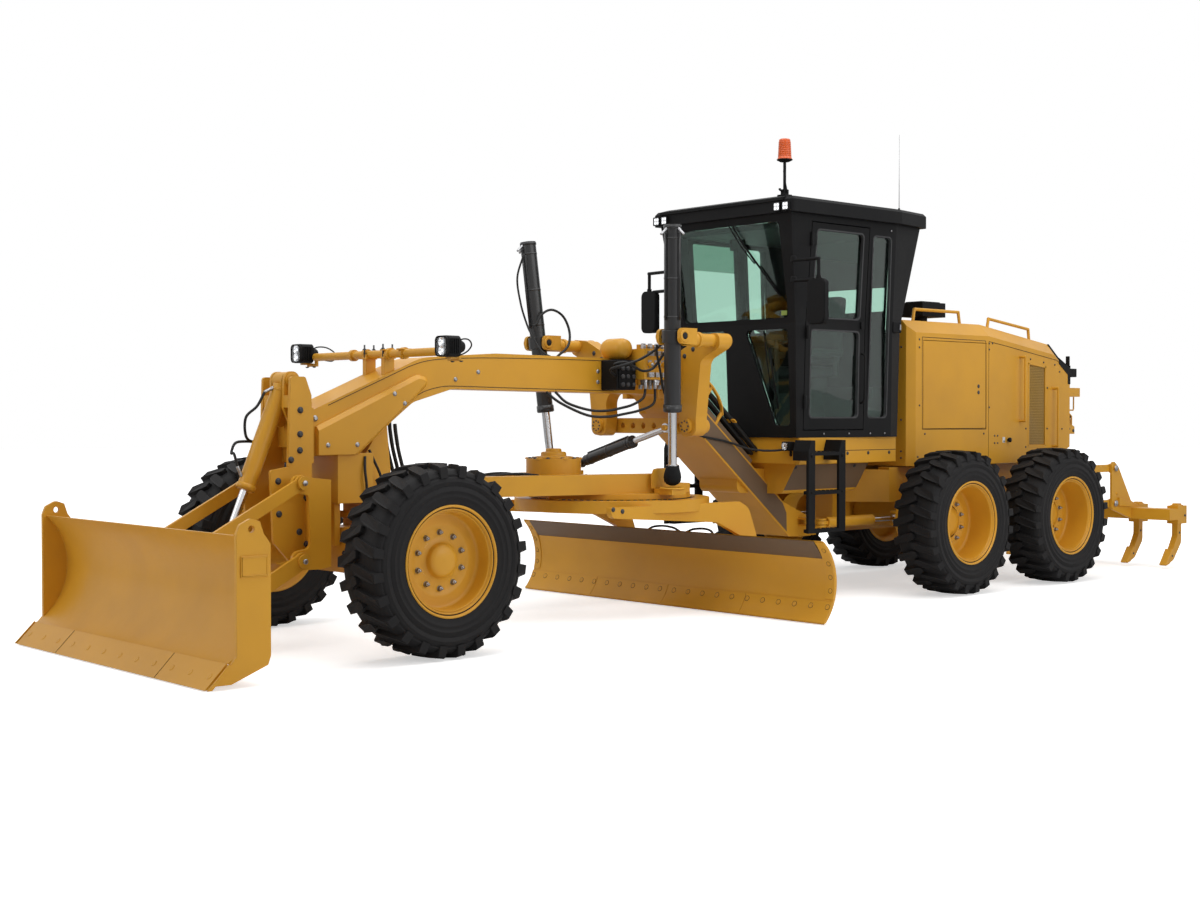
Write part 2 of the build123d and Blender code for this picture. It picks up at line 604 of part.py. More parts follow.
def lift_cylinders():
    """Left barrel, which turns about Y in its yoke, and left rod, whose foot stands over the drawbar."""
    pivot = (yoke_x, yoke_y, yoke_z)
    foot = (ball_x, ball_y, ball_z)
    barrel = rod(along(pivot, foot, -810), along(pivot, foot, 520), lift_barrel_radius)
    barrel += rod(along(pivot, foot, 520), along(pivot, foot, 545), lift_barrel_radius - 6)
    barrel += rod(along(pivot, foot, -45), along(pivot, foot, 45), lift_barrel_radius + 16)
    barrel += rod((yoke_x, yoke_y - 130, yoke_z), (yoke_x, yoke_y + 130, yoke_z), 24)
    barrel -= rod(along(pivot, foot, -760), along(pivot, foot, 560), lift_rod_radius + running_gap)
    piston = rod(along(foot, pivot, 20), along(foot, pivot, 1300), lift_rod_radius)
    piston += rod(along(foot, pivot, 30), along(foot, pivot, 95), 46)
    piston += Pos(*foot) * Sphere(56)
    return barrel, piston


def centershift_cylinder():
    """Rod that turns on the saddle's pin, and barrel whose eye stands between ears on the drawbar."""
    high = (shift_x, *shift_high)
    low = (shift_x, *shift_low)
    piston = rod(along(high, low, 30), along(high, low, 760), 24)
    piston += rod((shift_x - 28, *shift_high), (shift_x + 28, *shift_high), 36)
    piston -= rod((shift_x - 40, *shift_high), (shift_x + 60, *shift_high), 22 + running_gap)
    barrel = rod(along(low, high, 75), along(low, high, 650), 44)
    barrel += rod(along(low, high, 30), along(low, high, 80), 28)
    barrel -= rod(along(low, high, 110), along(low, high, 660), 24 + running_gap)
    barrel += rod((shift_x - 30, *shift_low), (shift_x + 30, *shift_low), 40)
    return barrel, piston


# ---- cab ----
def cab_plan(ring, inset):
    """Plan of the cab at one level, moved in by an inset."""
    level, front_x, front_y, side_y, rear_x, rear_y = ring
    face = outline([(front_x, -front_y), (front_x, front_y), (pillar_x, side_y), (rear_x, rear_y),
                    (rear_x, -rear_y), (pillar_x, -side_y)])
    if inset:
        face = offset(face, amount=-inset, kind=Kind.INTERSECTION)
    return Pos(0, 0, level) * face


def cab_body(inset):
    low, waist, high = [cab_plan(ring, inset) for ring in cab_rings]
    return loft([low, waist], ruled=True) + loft([waist, high], ruled=True)


def window(a_from, a_to, z_from, z_to):
    """Corners of an upright window, in X or Y and Z."""
    return (a_from, z_from), (a_to, z_from), (a_to, z_to), (a_from, z_to)


side_windows = (window(1590, 2180, 2290, 3005), window(1590, 2180, 1485, 2205))     # in the doors
quarter_window = window(1235, 1480, 1485, 3000)                                     # behind the doors
front_windows = (window(-590, 590, 2290, 3050), window(-570, -110, 1425, 2205),
                 ((405, 1425), (570, 1425), (570, 2205), (105, 2205)))
rear_window = window(-560, 560, 2400, 3020)


def window_face(corners, grow):
    face = outline([(a, z, 40) for a, z in corners])
    return offset(face, amount=grow, kind=Kind.INTERSECTION) if grow else face


def side_window(corners, grow=0):
    plane = Plane(origin=(0, 800, 0), x_dir=(1, 0, 0), z_dir=(0, -1, 0))
    return extrude(plane * window_face(corners, grow), amount=240)


def end_window(corners, x_from, x_to, grow=0):
    plane = Plane(origin=(x_from, 0, 0), x_dir=(0, 1, 0), z_dir=(1, 0, 0))
    return extrude(plane * window_face(corners, grow), amount=x_to - x_from)


def door_prism(grow):
    return side([(door_x[0] - grow, door_z[0] - grow), (door_x[1] + grow, door_z[0] - grow),
                 (door_x[1] + grow, door_z[1] + grow), (door_x[0] - grow, door_z[1] + grow)], 560, 800)


def cab():
    """Cab frame, its fixed panes, and the left door with its panes."""
    outer = cab_body(0)
    shell = outer - cab_body(wall)
    bottom, top = cab_rings[0][0], cab_rings[-1][0]
    slabs = block(700, 2600, -800, 800, bottom, bottom + 50) + block(700, 2600, -800, 800, top - 50, top)
    frame = shell + (slabs & cab_body(wall - 1))
    frame -= both_sides(door_prism(door_gap))
    glass_layer = cab_body(24) - cab_body(32)
    panes = []
    for corners in front_windows:
        frame -= end_window(corners, 2150, 2600)
        panes.append(glass_layer & end_window(corners, 2150, 2600, -fit_gap))
    frame -= end_window(rear_window, 600, 1150)
    panes.append(glass_layer & end_window(rear_window, 600, 1050, -fit_gap))
    frame -= both_sides(side_window(quarter_window))
    pane = glass_layer & side_window(quarter_window, -fit_gap)
    panes += [pane, other_side(pane)]
    door = shell & door_prism(0)
    door_panes = []
    for corners in side_windows:
        door -= side_window(corners)
        door_panes.append(glass_layer & side_window(corners, -fit_gap))
    return frame, panes, door, door_panes


def cab_roof():
    top = cab_rings[-1][0] + fit_gap
    slab = flat([(2540, -785, 40), (2540, 785, 40), (pillar_x, 800, 60), (725, 730, 60), (725, -730, 60),
                 (pillar_x, -800, 60)], top, roof_top)
    slab = chamfer(slab.faces().sort_by(Axis.Z)[-1].edges(), 25)
    lamps = block(2505, 2560, 600, 665, 3120, 3185) + block(2505, 2560, 690, 755, 3120, 3185)
    lamps += block(700, 745, 600, 665, 3120, 3185)
    return slab + both_sides(lamps)


def seat():
    cushion = block(1330, 1830, -260, 260, 1830, 1930)
    cushion = fillet(cushion.edges(), 30)
    back = side([(1370, 1935), (1290, 2560, 40), (1180, 2560, 40), (1250, 1935)], -240, 240)
    base = block(1420, 1740, -200, 200, cab_floor + 50 + fit_gap, 1825)
    return cushion + back + base


def steering_console():
    base = side([(2220, cab_floor + 50.3), (2080, cab_floor + 50.3), (2020, 1850), (1980, 2080, 30),
                 (2060, 2110, 30), (2120, 1860)], -90, 90)
    wheel_plane = Plane(origin=(1985, 0, 2190), z_dir=(-0.35, 0, 1))
    ring = wheel_plane * Torus(190, 16)
    spokes = wheel_plane * (Box(380, 30, 14) + Box(30, 380, 14))
    column = rod((2030, 0, 2050), (1985, 0, 2190), 30)
    return base + ring + spokes + column


def mirrors():
    plate = block(2400, 2445, 850, 1030, 2220, 2580)
    plate = fillet(plate.edges().filter_by(Axis.X), 50)
    for z, y_far, y_near in ((2733, 960, 712), (2572, 900, 690)):
        plate += rod((2450, y_near, z), (2425, y_far, z), 14)
    plate += rod((2425, 950, 2740), (2425, 950, 2560), 14)
    return both_sides(plate)


def beacon():
    foot = block(2400, 2480, 570, 650, roof_top + fit_gap, roof_top + 40)
    stalk = rod((2440, 610, roof_top + 30), (2440, 610, 3525), 12)
    dome = Pos(2440, 610, 3520) * Cylinder(58, 180, align=(Align.CENTER, Align.CENTER, Align.MIN))
    dome = fillet(dome.faces().sort_by(Axis.Z)[-1].edges(), 20)
    whip = rod((960, 600, roof_top + fit_gap), (960, 600, 3905), 4)
    whip += rod((960, 600, roof_top + fit_gap), (960, 600, roof_top + 40), 16)
    return Compound(children=[(foot + stalk + dome).solids()[0], whip.solids()[0]])


def ladders():
    piece = block(1965, 2340, 730, 815, 575, 603)
    for z in (880, 1190):
        piece += block(1965, 2340, 730, 815, z, z + 28)
    for x in (2340, 1965):
        piece += block(x - 40, x + 40, 790, 815, 575, 1225)
        piece += side([(x - 40, 1150), (x + 40, 1150), (x + 40, 1225), (x + 10, 1312), (x - 40, 1312)],
                      650 + fit_gap, 815)
    return both_sides(piece)


# ---- rear half ----
def rear_frame():
    half = both_side_rail()
    neck = flat([(900, -460), (900, 460), (1180, 110, 60), (1180, -110, 60)], 760, 1040)
    piece = both_sides(half) + neck + block(-400, 300, -rear_rail_y, rear_rail_y, 760, 900)
    for low in hitch_levels:
        z = low + 50
        tongue = flat([(1000, -110), (hitch_x + 30, -90, 60), (hitch_x + 30, 90, 60), (1000, 110)], z, z + 55)
        piece += tongue - rod((hitch_x, 0, z - 5), (hitch_x, 0, z + 60), hitch_pin_radius + running_gap)
    piece += block(1000, 1240, -110, 110, 530, 1000)
    piece += rod((0, -555, axle_z), (0, 555, axle_z), 140)
    piece += block(-150, 150, -455, 455, 600, 800)
    x, z = ripper_top
    piece += block(x + 22, x + 107, -345, 345, 900, 1050)
    ear = side([(x + 80, 1000), (x + 60, z + 40, 30), (x - 40, z + 40, 40), (x - 40, z - 45, 40),
                (x + 20, 960)], 52, 76)
    return piece + both_sides(ear) + rod((x, -80, z), (x, 80, z), ripper_pin_radius)


def both_side_rail():
    """Left rail with the bumper half, the rod ears of the articulation cylinder and the ripper's pins."""
    rail = block(rear_end_x, 900, rear_rail_y - 60, rear_rail_y + 60, 760, 1060)
    rail += block(rear_end_x, rear_end_x + 130, 90, 600, 640, 1060)
    rail += block(700, 755, 420, 520, 560, 780)
    for z in (560, 665):
        rail += flat([(720, 425), (860, 425, 30), (860, 520, 30), (720, 520)], z, z + 15)
    inner = ripper_link_y - 13 - side_gap
    rail += block(ripper_mount_x - 55, ripper_mount_x + 55, rear_rail_y, inner, 590, 1045)
    for z in ripper_pins:
        rail += rod((ripper_mount_x, inner, z), (ripper_mount_x, inner + 50, z), ripper_pin_radius)
        rail += rod((ripper_mount_x, inner + 36, z), (ripper_mount_x, inner + 50, z), 40)
    return rail


def tandem_housings():
    half = tandem_spacing / 2
    far = half + 190
    body = side([(-far, 430, 170), (-far, 790, 170), (far, 790, 170), (far, 430, 170)], 560, 740)
    for x in (-half, half):
        body += rod((x, 700, axle_z), (x, hub_end(-70, 40) - 5, axle_z), spindle_radius)
        body += rod((x, 735, axle_z), (x, 790, axle_z), 100)
    return both_sides(body)


def hood_solid(inset):
    """Engine hood: sloping rear top, bevelled shoulders and bevelled front corners."""
    half, front, rear = hood_half - inset, hood_front - inset, hood_rear + inset
    sink = 200 if inset else 0
    body = side([(front, hood_bottom - sink), (front, hood_top - inset), (hood_break_x, hood_top - inset),
                 (hood_ridge_x, hood_ridge_z - inset), (rear, 2025 - inset), (rear, 1205 - sink),
                 (-1250, hood_bottom - sink)], -half, half)
    shoulders = [e for e in body.edges() if abs(abs(e.center().Y) - half) < 1 and e.center().Z > 2050
                 and abs(e.center().X - front) > 1]
    body = chamfer(shoulders, hood_bevel - inset * 0.4)
    corners = [e for e in body.edges() if abs(e.center().X - front) < 1 and abs(abs(e.center().Y) - half) < 1]
    return chamfer(corners, 60)


def engine_enclosure():
    """Hollow hood with its door openings, side grilles, top rails, grips and precleaner."""
    shell = hood_solid(0) - hood_solid(hood_wall)
    gap = side_gap
    x0, x1 = engine_door_x
    z0, z1 = engine_door_z
    inner = hood_half - hood_wall - 1
    shell -= both_sides(side([(x0 - gap, z0 - gap), (x1 + gap, z0 - gap), (x1 + gap, z1 + gap),
                              (x0 - gap, z1 + gap)], inner, hood_half + 1))
    shell -= both_sides(side([(-1270, 1230), (-1000, 1230), (-1000, 1990), (-1270, 1960)],
                             hood_half - 12, hood_half + 1))
    for x_low, z_low, x_high, z_high in ((600, 2300, 570, 2445), (-104, 2300, -75, 2445)):
        shell += both_sides(rod((x_low, 470, z_low), (x_high, 470, z_high), 14))
    shell += both_sides(rod((575, 470, 2440), (-80, 470, 2440), 14))
    for x_low, z_low, x_high, z_high in ((-517, 2280, -545, 2405), (-1213, 2180, -1190, 2330)):
        shell += both_sides(rod((x_low, 470, z_low), (x_high, 470, z_high), 14))
    shell += both_sides(rod((-540, 470, 2400), (-1195, 470, 2325), 14))
    shell += rod((190, 250, 2330), (190, 250, 2405), 60) + block(-10, 320, 130, 370, 2400, 2515)
    for x_grip, z_from, z_to in ((-850, 1458, 2050), (-1400, 1218, 1765)):
        out = hood_half + 60
        shell += both_sides(rod((x_grip, out, z_from), (x_grip, out, z_to), 12)
                            + rod((x_grip, hood_half - 5, z_from), (x_grip, out + 8, z_from), 12)
                            + rod((x_grip, hood_half - 5, z_to), (x_grip, out + 8, z_to), 12))
    return shell


def engine_door():
    return side([(engine_door_x[0], engine_door_z[0]), (engine_door_x[1], engine_door_z[0]),
                 (engine_door_x[1], engine_door_z[1]), (engine_door_x[0], engine_door_z[1])],
                hood_half - hood_wall, hood_half)


def ripper_links(z):
    front = (ripper_mount_x, z)
    rear = (ripper_mount_x - ripper_link_length, z)
    return both_sides(arm_between(front, rear, ripper_link_y - 13, 36, 46, ripper_pin_radius))


def ripper():
    """Beam on two triangular plates, with the shanks in their holders."""
    pin_x = ripper_mount_x - ripper_link_length
    low, high = ripper_pins
    back, front = ripper_beam_x
    near = ripper_link_y + 13 + side_gap
    plate = side([(pin_x + 55, high + 30, 30), (pin_x + 20, high + 75, 30), (pin_x - 70, high + 10, 30),
                  (front + 5, 660), (back + 20, 600), (back + 20, 500), (front - 5, 480),
                  (pin_x + 50, 590, 40)], near, near + 22)
    for z in ripper_pins:
        plate += rod((pin_x, near - 52, z), (pin_x, near + 36, z), ripper_pin_radius)
        plate += rod((pin_x, near - 52, z), (pin_x, near - 36, z), 38)
    beam = block(back, front, -ripper_beam_half, ripper_beam_half, 480, 590)
    piece = both_sides(plate) + beam
    x = back - 62
    tip = ripper_tip_clear
    shank = side([(x - 38, 640, 15), (x + 38, 640, 15), (x + 38, 320, 60), (x + 120, 190, 40),
                  (x + 265, tip + 8), (x + 255, tip), (x + 110, 85, 60), (x - 38, 250, 80)], -30, 30)
    holder = block(x - 90, back + 20, -58, 58, 440, 617)
    for i in range(shank_count):
        y = (i - (shank_count - 1) / 2) * shank_pitch
        last = ripper_beam_half - 58
        piece += Pos(0, max(-last, min(last, y)), 0) * (shank + holder)
    eye_x, eye_z = ripper_eye
    ear = side([(back + 60, 560), (eye_x - 60, eye_z + 45, 40), (eye_x + 45, eye_z + 45, 40),
                (eye_x + 45, eye_z - 20, 30), (front - 5, 520)], 38, 60)
    return piece + both_sides(ear)


def ripper_cylinder():
    """Barrel on the rear frame's pin, and rod whose closed eye stands between the ripper's ears."""
    top, low = ((x, 0, z) for x, z in (ripper_top, ripper_eye))
    barrel = cylinder_barrel(top, low, 600, 44, 23, 90, ripper_pin_radius)
    return barrel, cylinder_rod(low, top, 670, 23, 36, 60)


def articulation_cylinder():
    """Left cylinder between the front frame's pin and the rear frame's ears, which have upright axes."""
    front, rear = (1800, 450, 620), (827, 470, 620)
    barrel = rod(along(front, rear, 62), along(front, rear, 650), 44)
    barrel += block(1720, 1800, 422, 478, 605, 635)
    barrel += post(1800, 450, 605, 42, 30)
    barrel -= rod((1800, 450, 590), (1800, 450, 650), 25 + running_gap)
    barrel -= rod(along(front, rear, 90), along(front, rear, 660), 22 + running_gap)
    piston = rod(along(rear, front, 20), along(rear, front, 630), 22)
    return barrel, piston + post(rear[0], rear[1], 590, 38, 60)


# ---- all nodes ----
nodes = {
    "main_frame": main_frame(),
    "lift_saddle": lift_saddle(),
    "valve_block": valve_block(),
    "lamp_bar": lamp_bar(),
    "front_lamps": front_lamps(),
    "dozer_mount": dozer_mount(),
    "front_axle": front_axle(),
    "lean_bar": lean_bar(),
    "tie_rod": tie_rod(),
    "dozer_upper_arms": dozer_upper_arms(),
    "dozer_lower_arms": dozer_lower_arms(),
    "dozer_blade": dozer_blade(),
    "drawbar": drawbar(),
    "circle": circle(),
    "tip_bracket": tip_bracket(),
    "moldboard": moldboard(),
    "cab_roof": cab_roof(),
    "seat": seat(),
    "steering_console": steering_console(),
    "mirrors": mirrors(),
    "beacon": beacon(),
    "ladders": ladders(),
    "rear_frame": rear_frame(),
    "tandem_housings": tandem_housings(),
    "engine_enclosure": engine_enclosure(),
    "engine_block": block(-900, 500, -330, 330, 1065, 1900),
    "ripper_lower_links": ripper_links(ripper_pins[0]),
    "ripper_upper_links": ripper_links(ripper_pins[1]),
    "ripper": ripper(),
}
nodes["dozer_barrel"], nodes["dozer_rod"] = dozer_cylinder()
nodes["centershift_barrel"], nodes["centershift_rod"] = centershift_cylinder()
nodes["ripper_barrel"], nodes["ripper_rod"] = ripper_cylinder()
frame, panes, door, door_panes = cab()
nodes["cab_frame"] = frame
nodes["cab_glass"] = Compound(children=[s for pane in panes for s in pane.solids()])

lift_barrel, lift_rod = lift_cylinders()
nodes["lift_barrels"] = both_sides(lift_barrel)
turn_barrel, turn_rod = articulation_cylinder()
left_nodes = {
    "lean": lean_carrier(),
    "knuckle": knuckle(),
    "lift_rod": lift_rod,
    "articulation_barrel": turn_barrel,
    "articulation_rod": turn_rod,
    "cab_door": door,
    "cab_door_glass": Compound(children=[s for pane in door_panes for s in pane.solids()]),
    "engine_door": engine_door(),
    "wheel_front": wheel(wheelbase, 40, 70),
    "wheel_middle": wheel(tandem_spacing / 2, -70, 40),
    "wheel_rear": wheel(-tandem_spacing / 2, -70, 40),
}
for name, piece in left_nodes.items():
    nodes[name + "_left"] = piece
    nodes[name + "_right"] = other_side(piece)

middle_x = (dozer_edge_x + ripper_beam_x[0] - 152) / 2
os.makedirs("parts", exist_ok=True)
for name, piece in nodes.items():
    export_step(Pos(-middle_x, 0, 0) * piece, f"parts/{name}.step")
print(len(nodes), "nodes written, middle of the box at X", middle_x)
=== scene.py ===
import json
import math

import bmesh
import bpy
from mathutils import Matrix, Vector


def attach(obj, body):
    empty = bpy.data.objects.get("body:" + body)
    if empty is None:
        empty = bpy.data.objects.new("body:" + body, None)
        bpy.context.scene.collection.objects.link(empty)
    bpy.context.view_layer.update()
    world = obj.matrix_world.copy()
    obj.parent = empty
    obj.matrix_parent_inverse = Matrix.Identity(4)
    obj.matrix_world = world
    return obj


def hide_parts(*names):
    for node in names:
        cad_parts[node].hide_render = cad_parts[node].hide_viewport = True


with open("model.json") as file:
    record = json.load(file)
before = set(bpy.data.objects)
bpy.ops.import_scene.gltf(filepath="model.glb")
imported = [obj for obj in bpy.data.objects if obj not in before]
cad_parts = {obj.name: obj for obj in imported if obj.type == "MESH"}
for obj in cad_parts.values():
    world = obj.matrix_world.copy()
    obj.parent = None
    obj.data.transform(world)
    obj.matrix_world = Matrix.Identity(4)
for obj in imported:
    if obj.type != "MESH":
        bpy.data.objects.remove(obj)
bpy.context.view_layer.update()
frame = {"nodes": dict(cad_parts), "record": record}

# Places below are in millimetres: x forward from the middle of the tandem, y to the machine's left, z up.
middleX = 2478.5


def at(x, y, z):
    return Vector(((x - middleX) / 1000, y / 1000, z / 1000))


# Direction square to another one, in the plane of forward and up.
def squareTo(way):
    return Vector((-way.z, 0, way.x))


# Mesh builder: many small things joined into one piece.
class Build:
    def __init__(self):
        self.verts, self.faces, self.smooth = [], [], []

    def add(self, verts, faces, smooth=False):
        base = len(self.verts)
        self.verts += [Vector(v) for v in verts]
        self.faces += [tuple(base + i for i in f) for f in faces]
        self.smooth += [smooth] * len(faces)
        return self

    def box(self, low, high, turn=None, centre=None):
        x0, y0, z0 = at(*low)
        x1, y1, z1 = at(*high)
        verts = [Vector((x, y, z)) for x in (x0, x1) for y in (y0, y1) for z in (z0, z1)]
        if turn:
            middle = at(*centre) if centre else Vector(((x0 + x1) / 2, (y0 + y1) / 2, (z0 + z1) / 2))
            verts = [middle + turn @ (v - middle) for v in verts]
        return self.add(verts, [(0, 1, 3, 2), (4, 6, 7, 5), (0, 4, 5, 1), (2, 3, 7, 6), (0, 2, 6, 4), (1, 5, 7, 3)])

    # Turns (radius, distance along the axis) pairs, in millimetres, round an axis.
    def lathe(self, profile, origin, axis, steps=48, start=0.0, turn=math.tau, smooth=True):
        o, a = at(*origin), Vector(axis).normalized()
        u = a.orthogonal().normalized()
        w = a.cross(u)
        closed = turn >= math.tau - 1e-6
        rings = steps if closed else steps + 1
        verts = []
        for i in range(rings):
            t = start + turn * i / steps
            d = u * math.cos(t) + w * math.sin(t)
            verts += [o + d * (r / 1000) + a * (h / 1000) for r, h in profile]
        n = len(profile)
        faces = []
        for i in range(steps):
            j = (i + 1) % rings
            faces += [(i * n + k, j * n + k, j * n + k + 1, i * n + k + 1) for k in range(n - 1)]
        return self.add(verts, faces, smooth)

    # Round bar between two points; far is the radius at its end.
    def rod(self, start, end, radius, steps=16, far=None, caps=True):
        length = (at(*end) - at(*start)).length * 1000
        far = radius if far is None else far
        profile = [(radius, 0), (far, length)]
        if caps:
            profile = [(0.01, 0), (radius, 0), (radius, 0), (far, length), (far, length), (0.01, length)]
        return self.lathe(profile, start, at(*end) - at(*start), steps)

    # Hexagon head on a washer; size is half the width across corners.
    def bolt(self, place, axis, size=12, washer=True):
        if washer:
            self.lathe([(size * 1.45, 0), (size * 1.45, 3), (0.01, 3)], place, axis, 16)
        rise = size * 0.85
        self.lathe([(size, 0), (size, rise * 0.8), (size * 0.82, rise), (0.01, rise)], place, axis, 6, smooth=False)
        return self

    # Round tube through points given in metres.
    def tube(self, points, radius, steps=10):
        frames = []
        tangent = (points[1] - points[0]).normalized()
        u = tangent.orthogonal().normalized()
        for i, p in enumerate(points):
            ahead = points[min(i + 1, len(points) - 1)] - points[max(i - 1, 0)]
            t = ahead.normalized()
            u = (u - t * u.dot(t)).normalized()
            frames.append((p, u, t.cross(u)))
        r = radius / 1000
        verts = [p + u * r * math.cos(math.tau * k / steps) + w * r * math.sin(math.tau * k / steps)
                 for p, u, w in frames for k in range(steps)]
        faces = []
        for i in range(len(points) - 1):
            for k in range(steps):
                m = (k + 1) % steps
                faces.append((i * steps + k, i * steps + m, (i + 1) * steps + m, (i + 1) * steps + k))
        faces += [tuple(range(steps))[::-1], tuple((len(points) - 1) * steps + k for k in range(steps))]
        return self.add(verts, faces, True)

    # Outline in the two other directions, in x, y, z order, pushed along an axis between two places.
    def prism(self, outline, axis, low, high):
        order = {"x": (1, 2), "y": (0, 2), "z": (0, 1)}[axis]
        slot = "xyz".index(axis)
        verts = []
        for level in (low, high):
            for a, b in outline:
                p = [0, 0, 0]
                p[slot], p[order[0]], p[order[1]] = level, a, b
                verts.append(at(*p))
        n = len(outline)
        faces = [tuple(range(n)), tuple(range(2 * n - 1, n - 1, -1))]
        faces += [(i, i + n, (i + 1) % n + n, (i + 1) % n) for i in range(n)]
        return self.add(verts, faces)

    # Faces between outlines of equal length; closed joins the last outline to the first.
    def skin(self, loops, closed=False):
        n, rows = len(loops[0]), len(loops)
        faces = [(j * n + i, j * n + (i + 1) % n, (j + 1) % rows * n + (i + 1) % n, (j + 1) % rows * n + i)
                 for j in range(rows if closed else rows - 1) for i in range(n)]
        return self.add([v for loop in loops for v in loop], faces)

    # Thin plate: four corners of one face, then the same four of the other.
    def slab(self, corners):
        return self.add(corners,
                        [(0, 1, 2, 3), (7, 6, 5, 4), (0, 4, 5, 1), (1, 5, 6, 2), (2, 6, 7, 3), (3, 7, 4, 0)])

    # The same again on the other side of the centre plane.
    def mirrored(self):
        base = len(self.verts)
        self.verts += [Vector((v.x, -v.y, v.z)) for v in self.verts[:base]]
        self.faces += [tuple(base + i for i in reversed(f)) for f in self.faces]
        self.smooth += self.smooth
        return self

    def finish(self, name, material, body, bevel=0.0):
        mesh = bpy.data.meshes.new(name)
        mesh.from_pydata([tuple(v) for v in self.verts], [], self.faces)
        mesh.validate()
        if len(mesh.polygons) == len(self.smooth):
            mesh.polygons.foreach_set("use_smooth", self.smooth)
        obj = bpy.data.objects.new(name, mesh)
        bpy.context.scene.collection.objects.link(obj)
        obj.data.materials.append(material)
        fixNormals(obj)
        if bevel:
            cut = obj.modifiers.new("edges", "BEVEL")
            cut.width, cut.segments, cut.limit_method = bevel / 1000, 2, "ANGLE"
        if body:
            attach(obj, body)
        return obj


def fixNormals(obj):
    work = bmesh.new()
    work.from_mesh(obj.data)
    bmesh.ops.remove_doubles(work, verts=work.verts, dist=1e-6)
    bmesh.ops.recalc_face_normals(work, faces=work.faces)
    work.to_mesh(obj.data)
    work.free()


# Catmull-Rom line through points in millimetres, in metres.
def smoothPath(points, steps=8):
    pts = [at(*p) for p in points]
    pts = [pts[0] * 2 - pts[1]] + pts + [pts[-1] * 2 - pts[-2]]
    line = []
    for i in range(1, len(pts) - 2):
        a, b, c, d = pts[i - 1:i + 3]
        for k in range(steps):
            t = k / steps
            line.append(0.5 * ((2 * b) + (c - a) * t + (2 * a - 5 * b + 4 * c - d) * t * t
                               + (3 * b - a - 3 * c + d) * t ** 3))
    line.append(pts[-2])
    return line


# Maths node that does one operation.
def mathNode(nodes, operation):
    node = nodes.new("ShaderNodeMath")
    node.operation = operation
    return node


# Shader node group with its own inputs and outputs.
def newGroup(name, inputs, outputs):
    group = bpy.data.node_groups.new(name, "ShaderNodeTree")
    for label, kind, value in inputs:
        socket = group.interface.new_socket(label, in_out="INPUT", socket_type=kind)
        socket.default_value = value
    for label, kind in outputs:
        group.interface.new_socket(label, in_out="OUTPUT", socket_type=kind)
    nodes = group.nodes
    return group, nodes, nodes.new("NodeGroupInput"), nodes.new("NodeGroupOutput"), group.links.new


paintLook = {
    "mottleScale": 2.3, "mottleFrom": 0.42, "mottleTo": 0.75, "waveScale": 34, "wave": 0.12, "peelScale": 420,
}


# Slight mottling of colour and roughness, orange peel, and edges that catch the light.
def buildPaintGroup():
    group, nodes, given, result, link = newGroup(
        "paintSurface",
        [("Color", "NodeSocketColor", (0.8, 0.8, 0.8, 1)), ("Dust", "NodeSocketColor", (0.4, 0.3, 0.2, 1)),
         ("Mottle", "NodeSocketFloat", 0.1), ("Roughness", "NodeSocketFloat", 0.4),
         ("Peel", "NodeSocketFloat", 0.05), ("Edge", "NodeSocketFloat", 0.004)],
        [("Color", "NodeSocketColor"), ("Roughness", "NodeSocketFloat"), ("Normal", "NodeSocketVector")])
    place = nodes.new("ShaderNodeTexCoord")
    broad = nodes.new("ShaderNodeTexNoise")
    broad.inputs["Scale"].default_value = paintLook["mottleScale"]
    broad.inputs["Detail"].default_value = 5
    link(place.outputs["Object"], broad.inputs["Vector"])
    ramp = nodes.new("ShaderNodeMapRange")
    ramp.inputs["From Min"].default_value = paintLook["mottleFrom"]
    ramp.inputs["From Max"].default_value = paintLook["mottleTo"]
    link(broad.outputs["Fac"], ramp.inputs["Value"])
    amount = mathNode(nodes, "MULTIPLY")
    link(ramp.outputs["Result"], amount.inputs[0])
    link(given.outputs["Mottle"], amount.inputs[1])
    mix = nodes.new("ShaderNodeMix")
    mix.data_type = "RGBA"
    link(amount.outputs[0], mix.inputs["Factor"])
    link(given.outputs["Color"], mix.inputs["A"])
    link(given.outputs["Dust"], mix.inputs["B"])
    link(mix.outputs["Result"], result.inputs["Color"])
    fine = nodes.new("ShaderNodeTexNoise")
    fine.inputs["Scale"].default_value = paintLook["waveScale"]
    fine.inputs["Detail"].default_value = 3
    link(place.outputs["Object"], fine.inputs["Vector"])
    swing = mathNode(nodes, "MULTIPLY_ADD")
    swing.inputs[1].default_value = paintLook["wave"]
    link(fine.outputs["Fac"], swing.inputs[0])
    link(given.outputs["Roughness"], swing.inputs[2])
    link(swing.outputs[0], result.inputs["Roughness"])
    edge = nodes.new("ShaderNodeBevel")
    edge.samples = 4
    link(given.outputs["Edge"], edge.inputs["Radius"])
    grain = nodes.new("ShaderNodeTexNoise")
    grain.inputs["Scale"].default_value = paintLook["peelScale"]
    link(place.outputs["Object"], grain.inputs["Vector"])
    bump = nodes.new("ShaderNodeBump")
    bump.inputs["Distance"].default_value = 0.001
    link(given.outputs["Peel"], bump.inputs["Strength"])
    link(grain.outputs["Fac"], bump.inputs["Height"])
    link(edge.outputs["Normal"], bump.inputs["Normal"])
    link(bump.outputs["Normal"], result.inputs["Normal"])
    return group


paintGroup = buildPaintGroup()


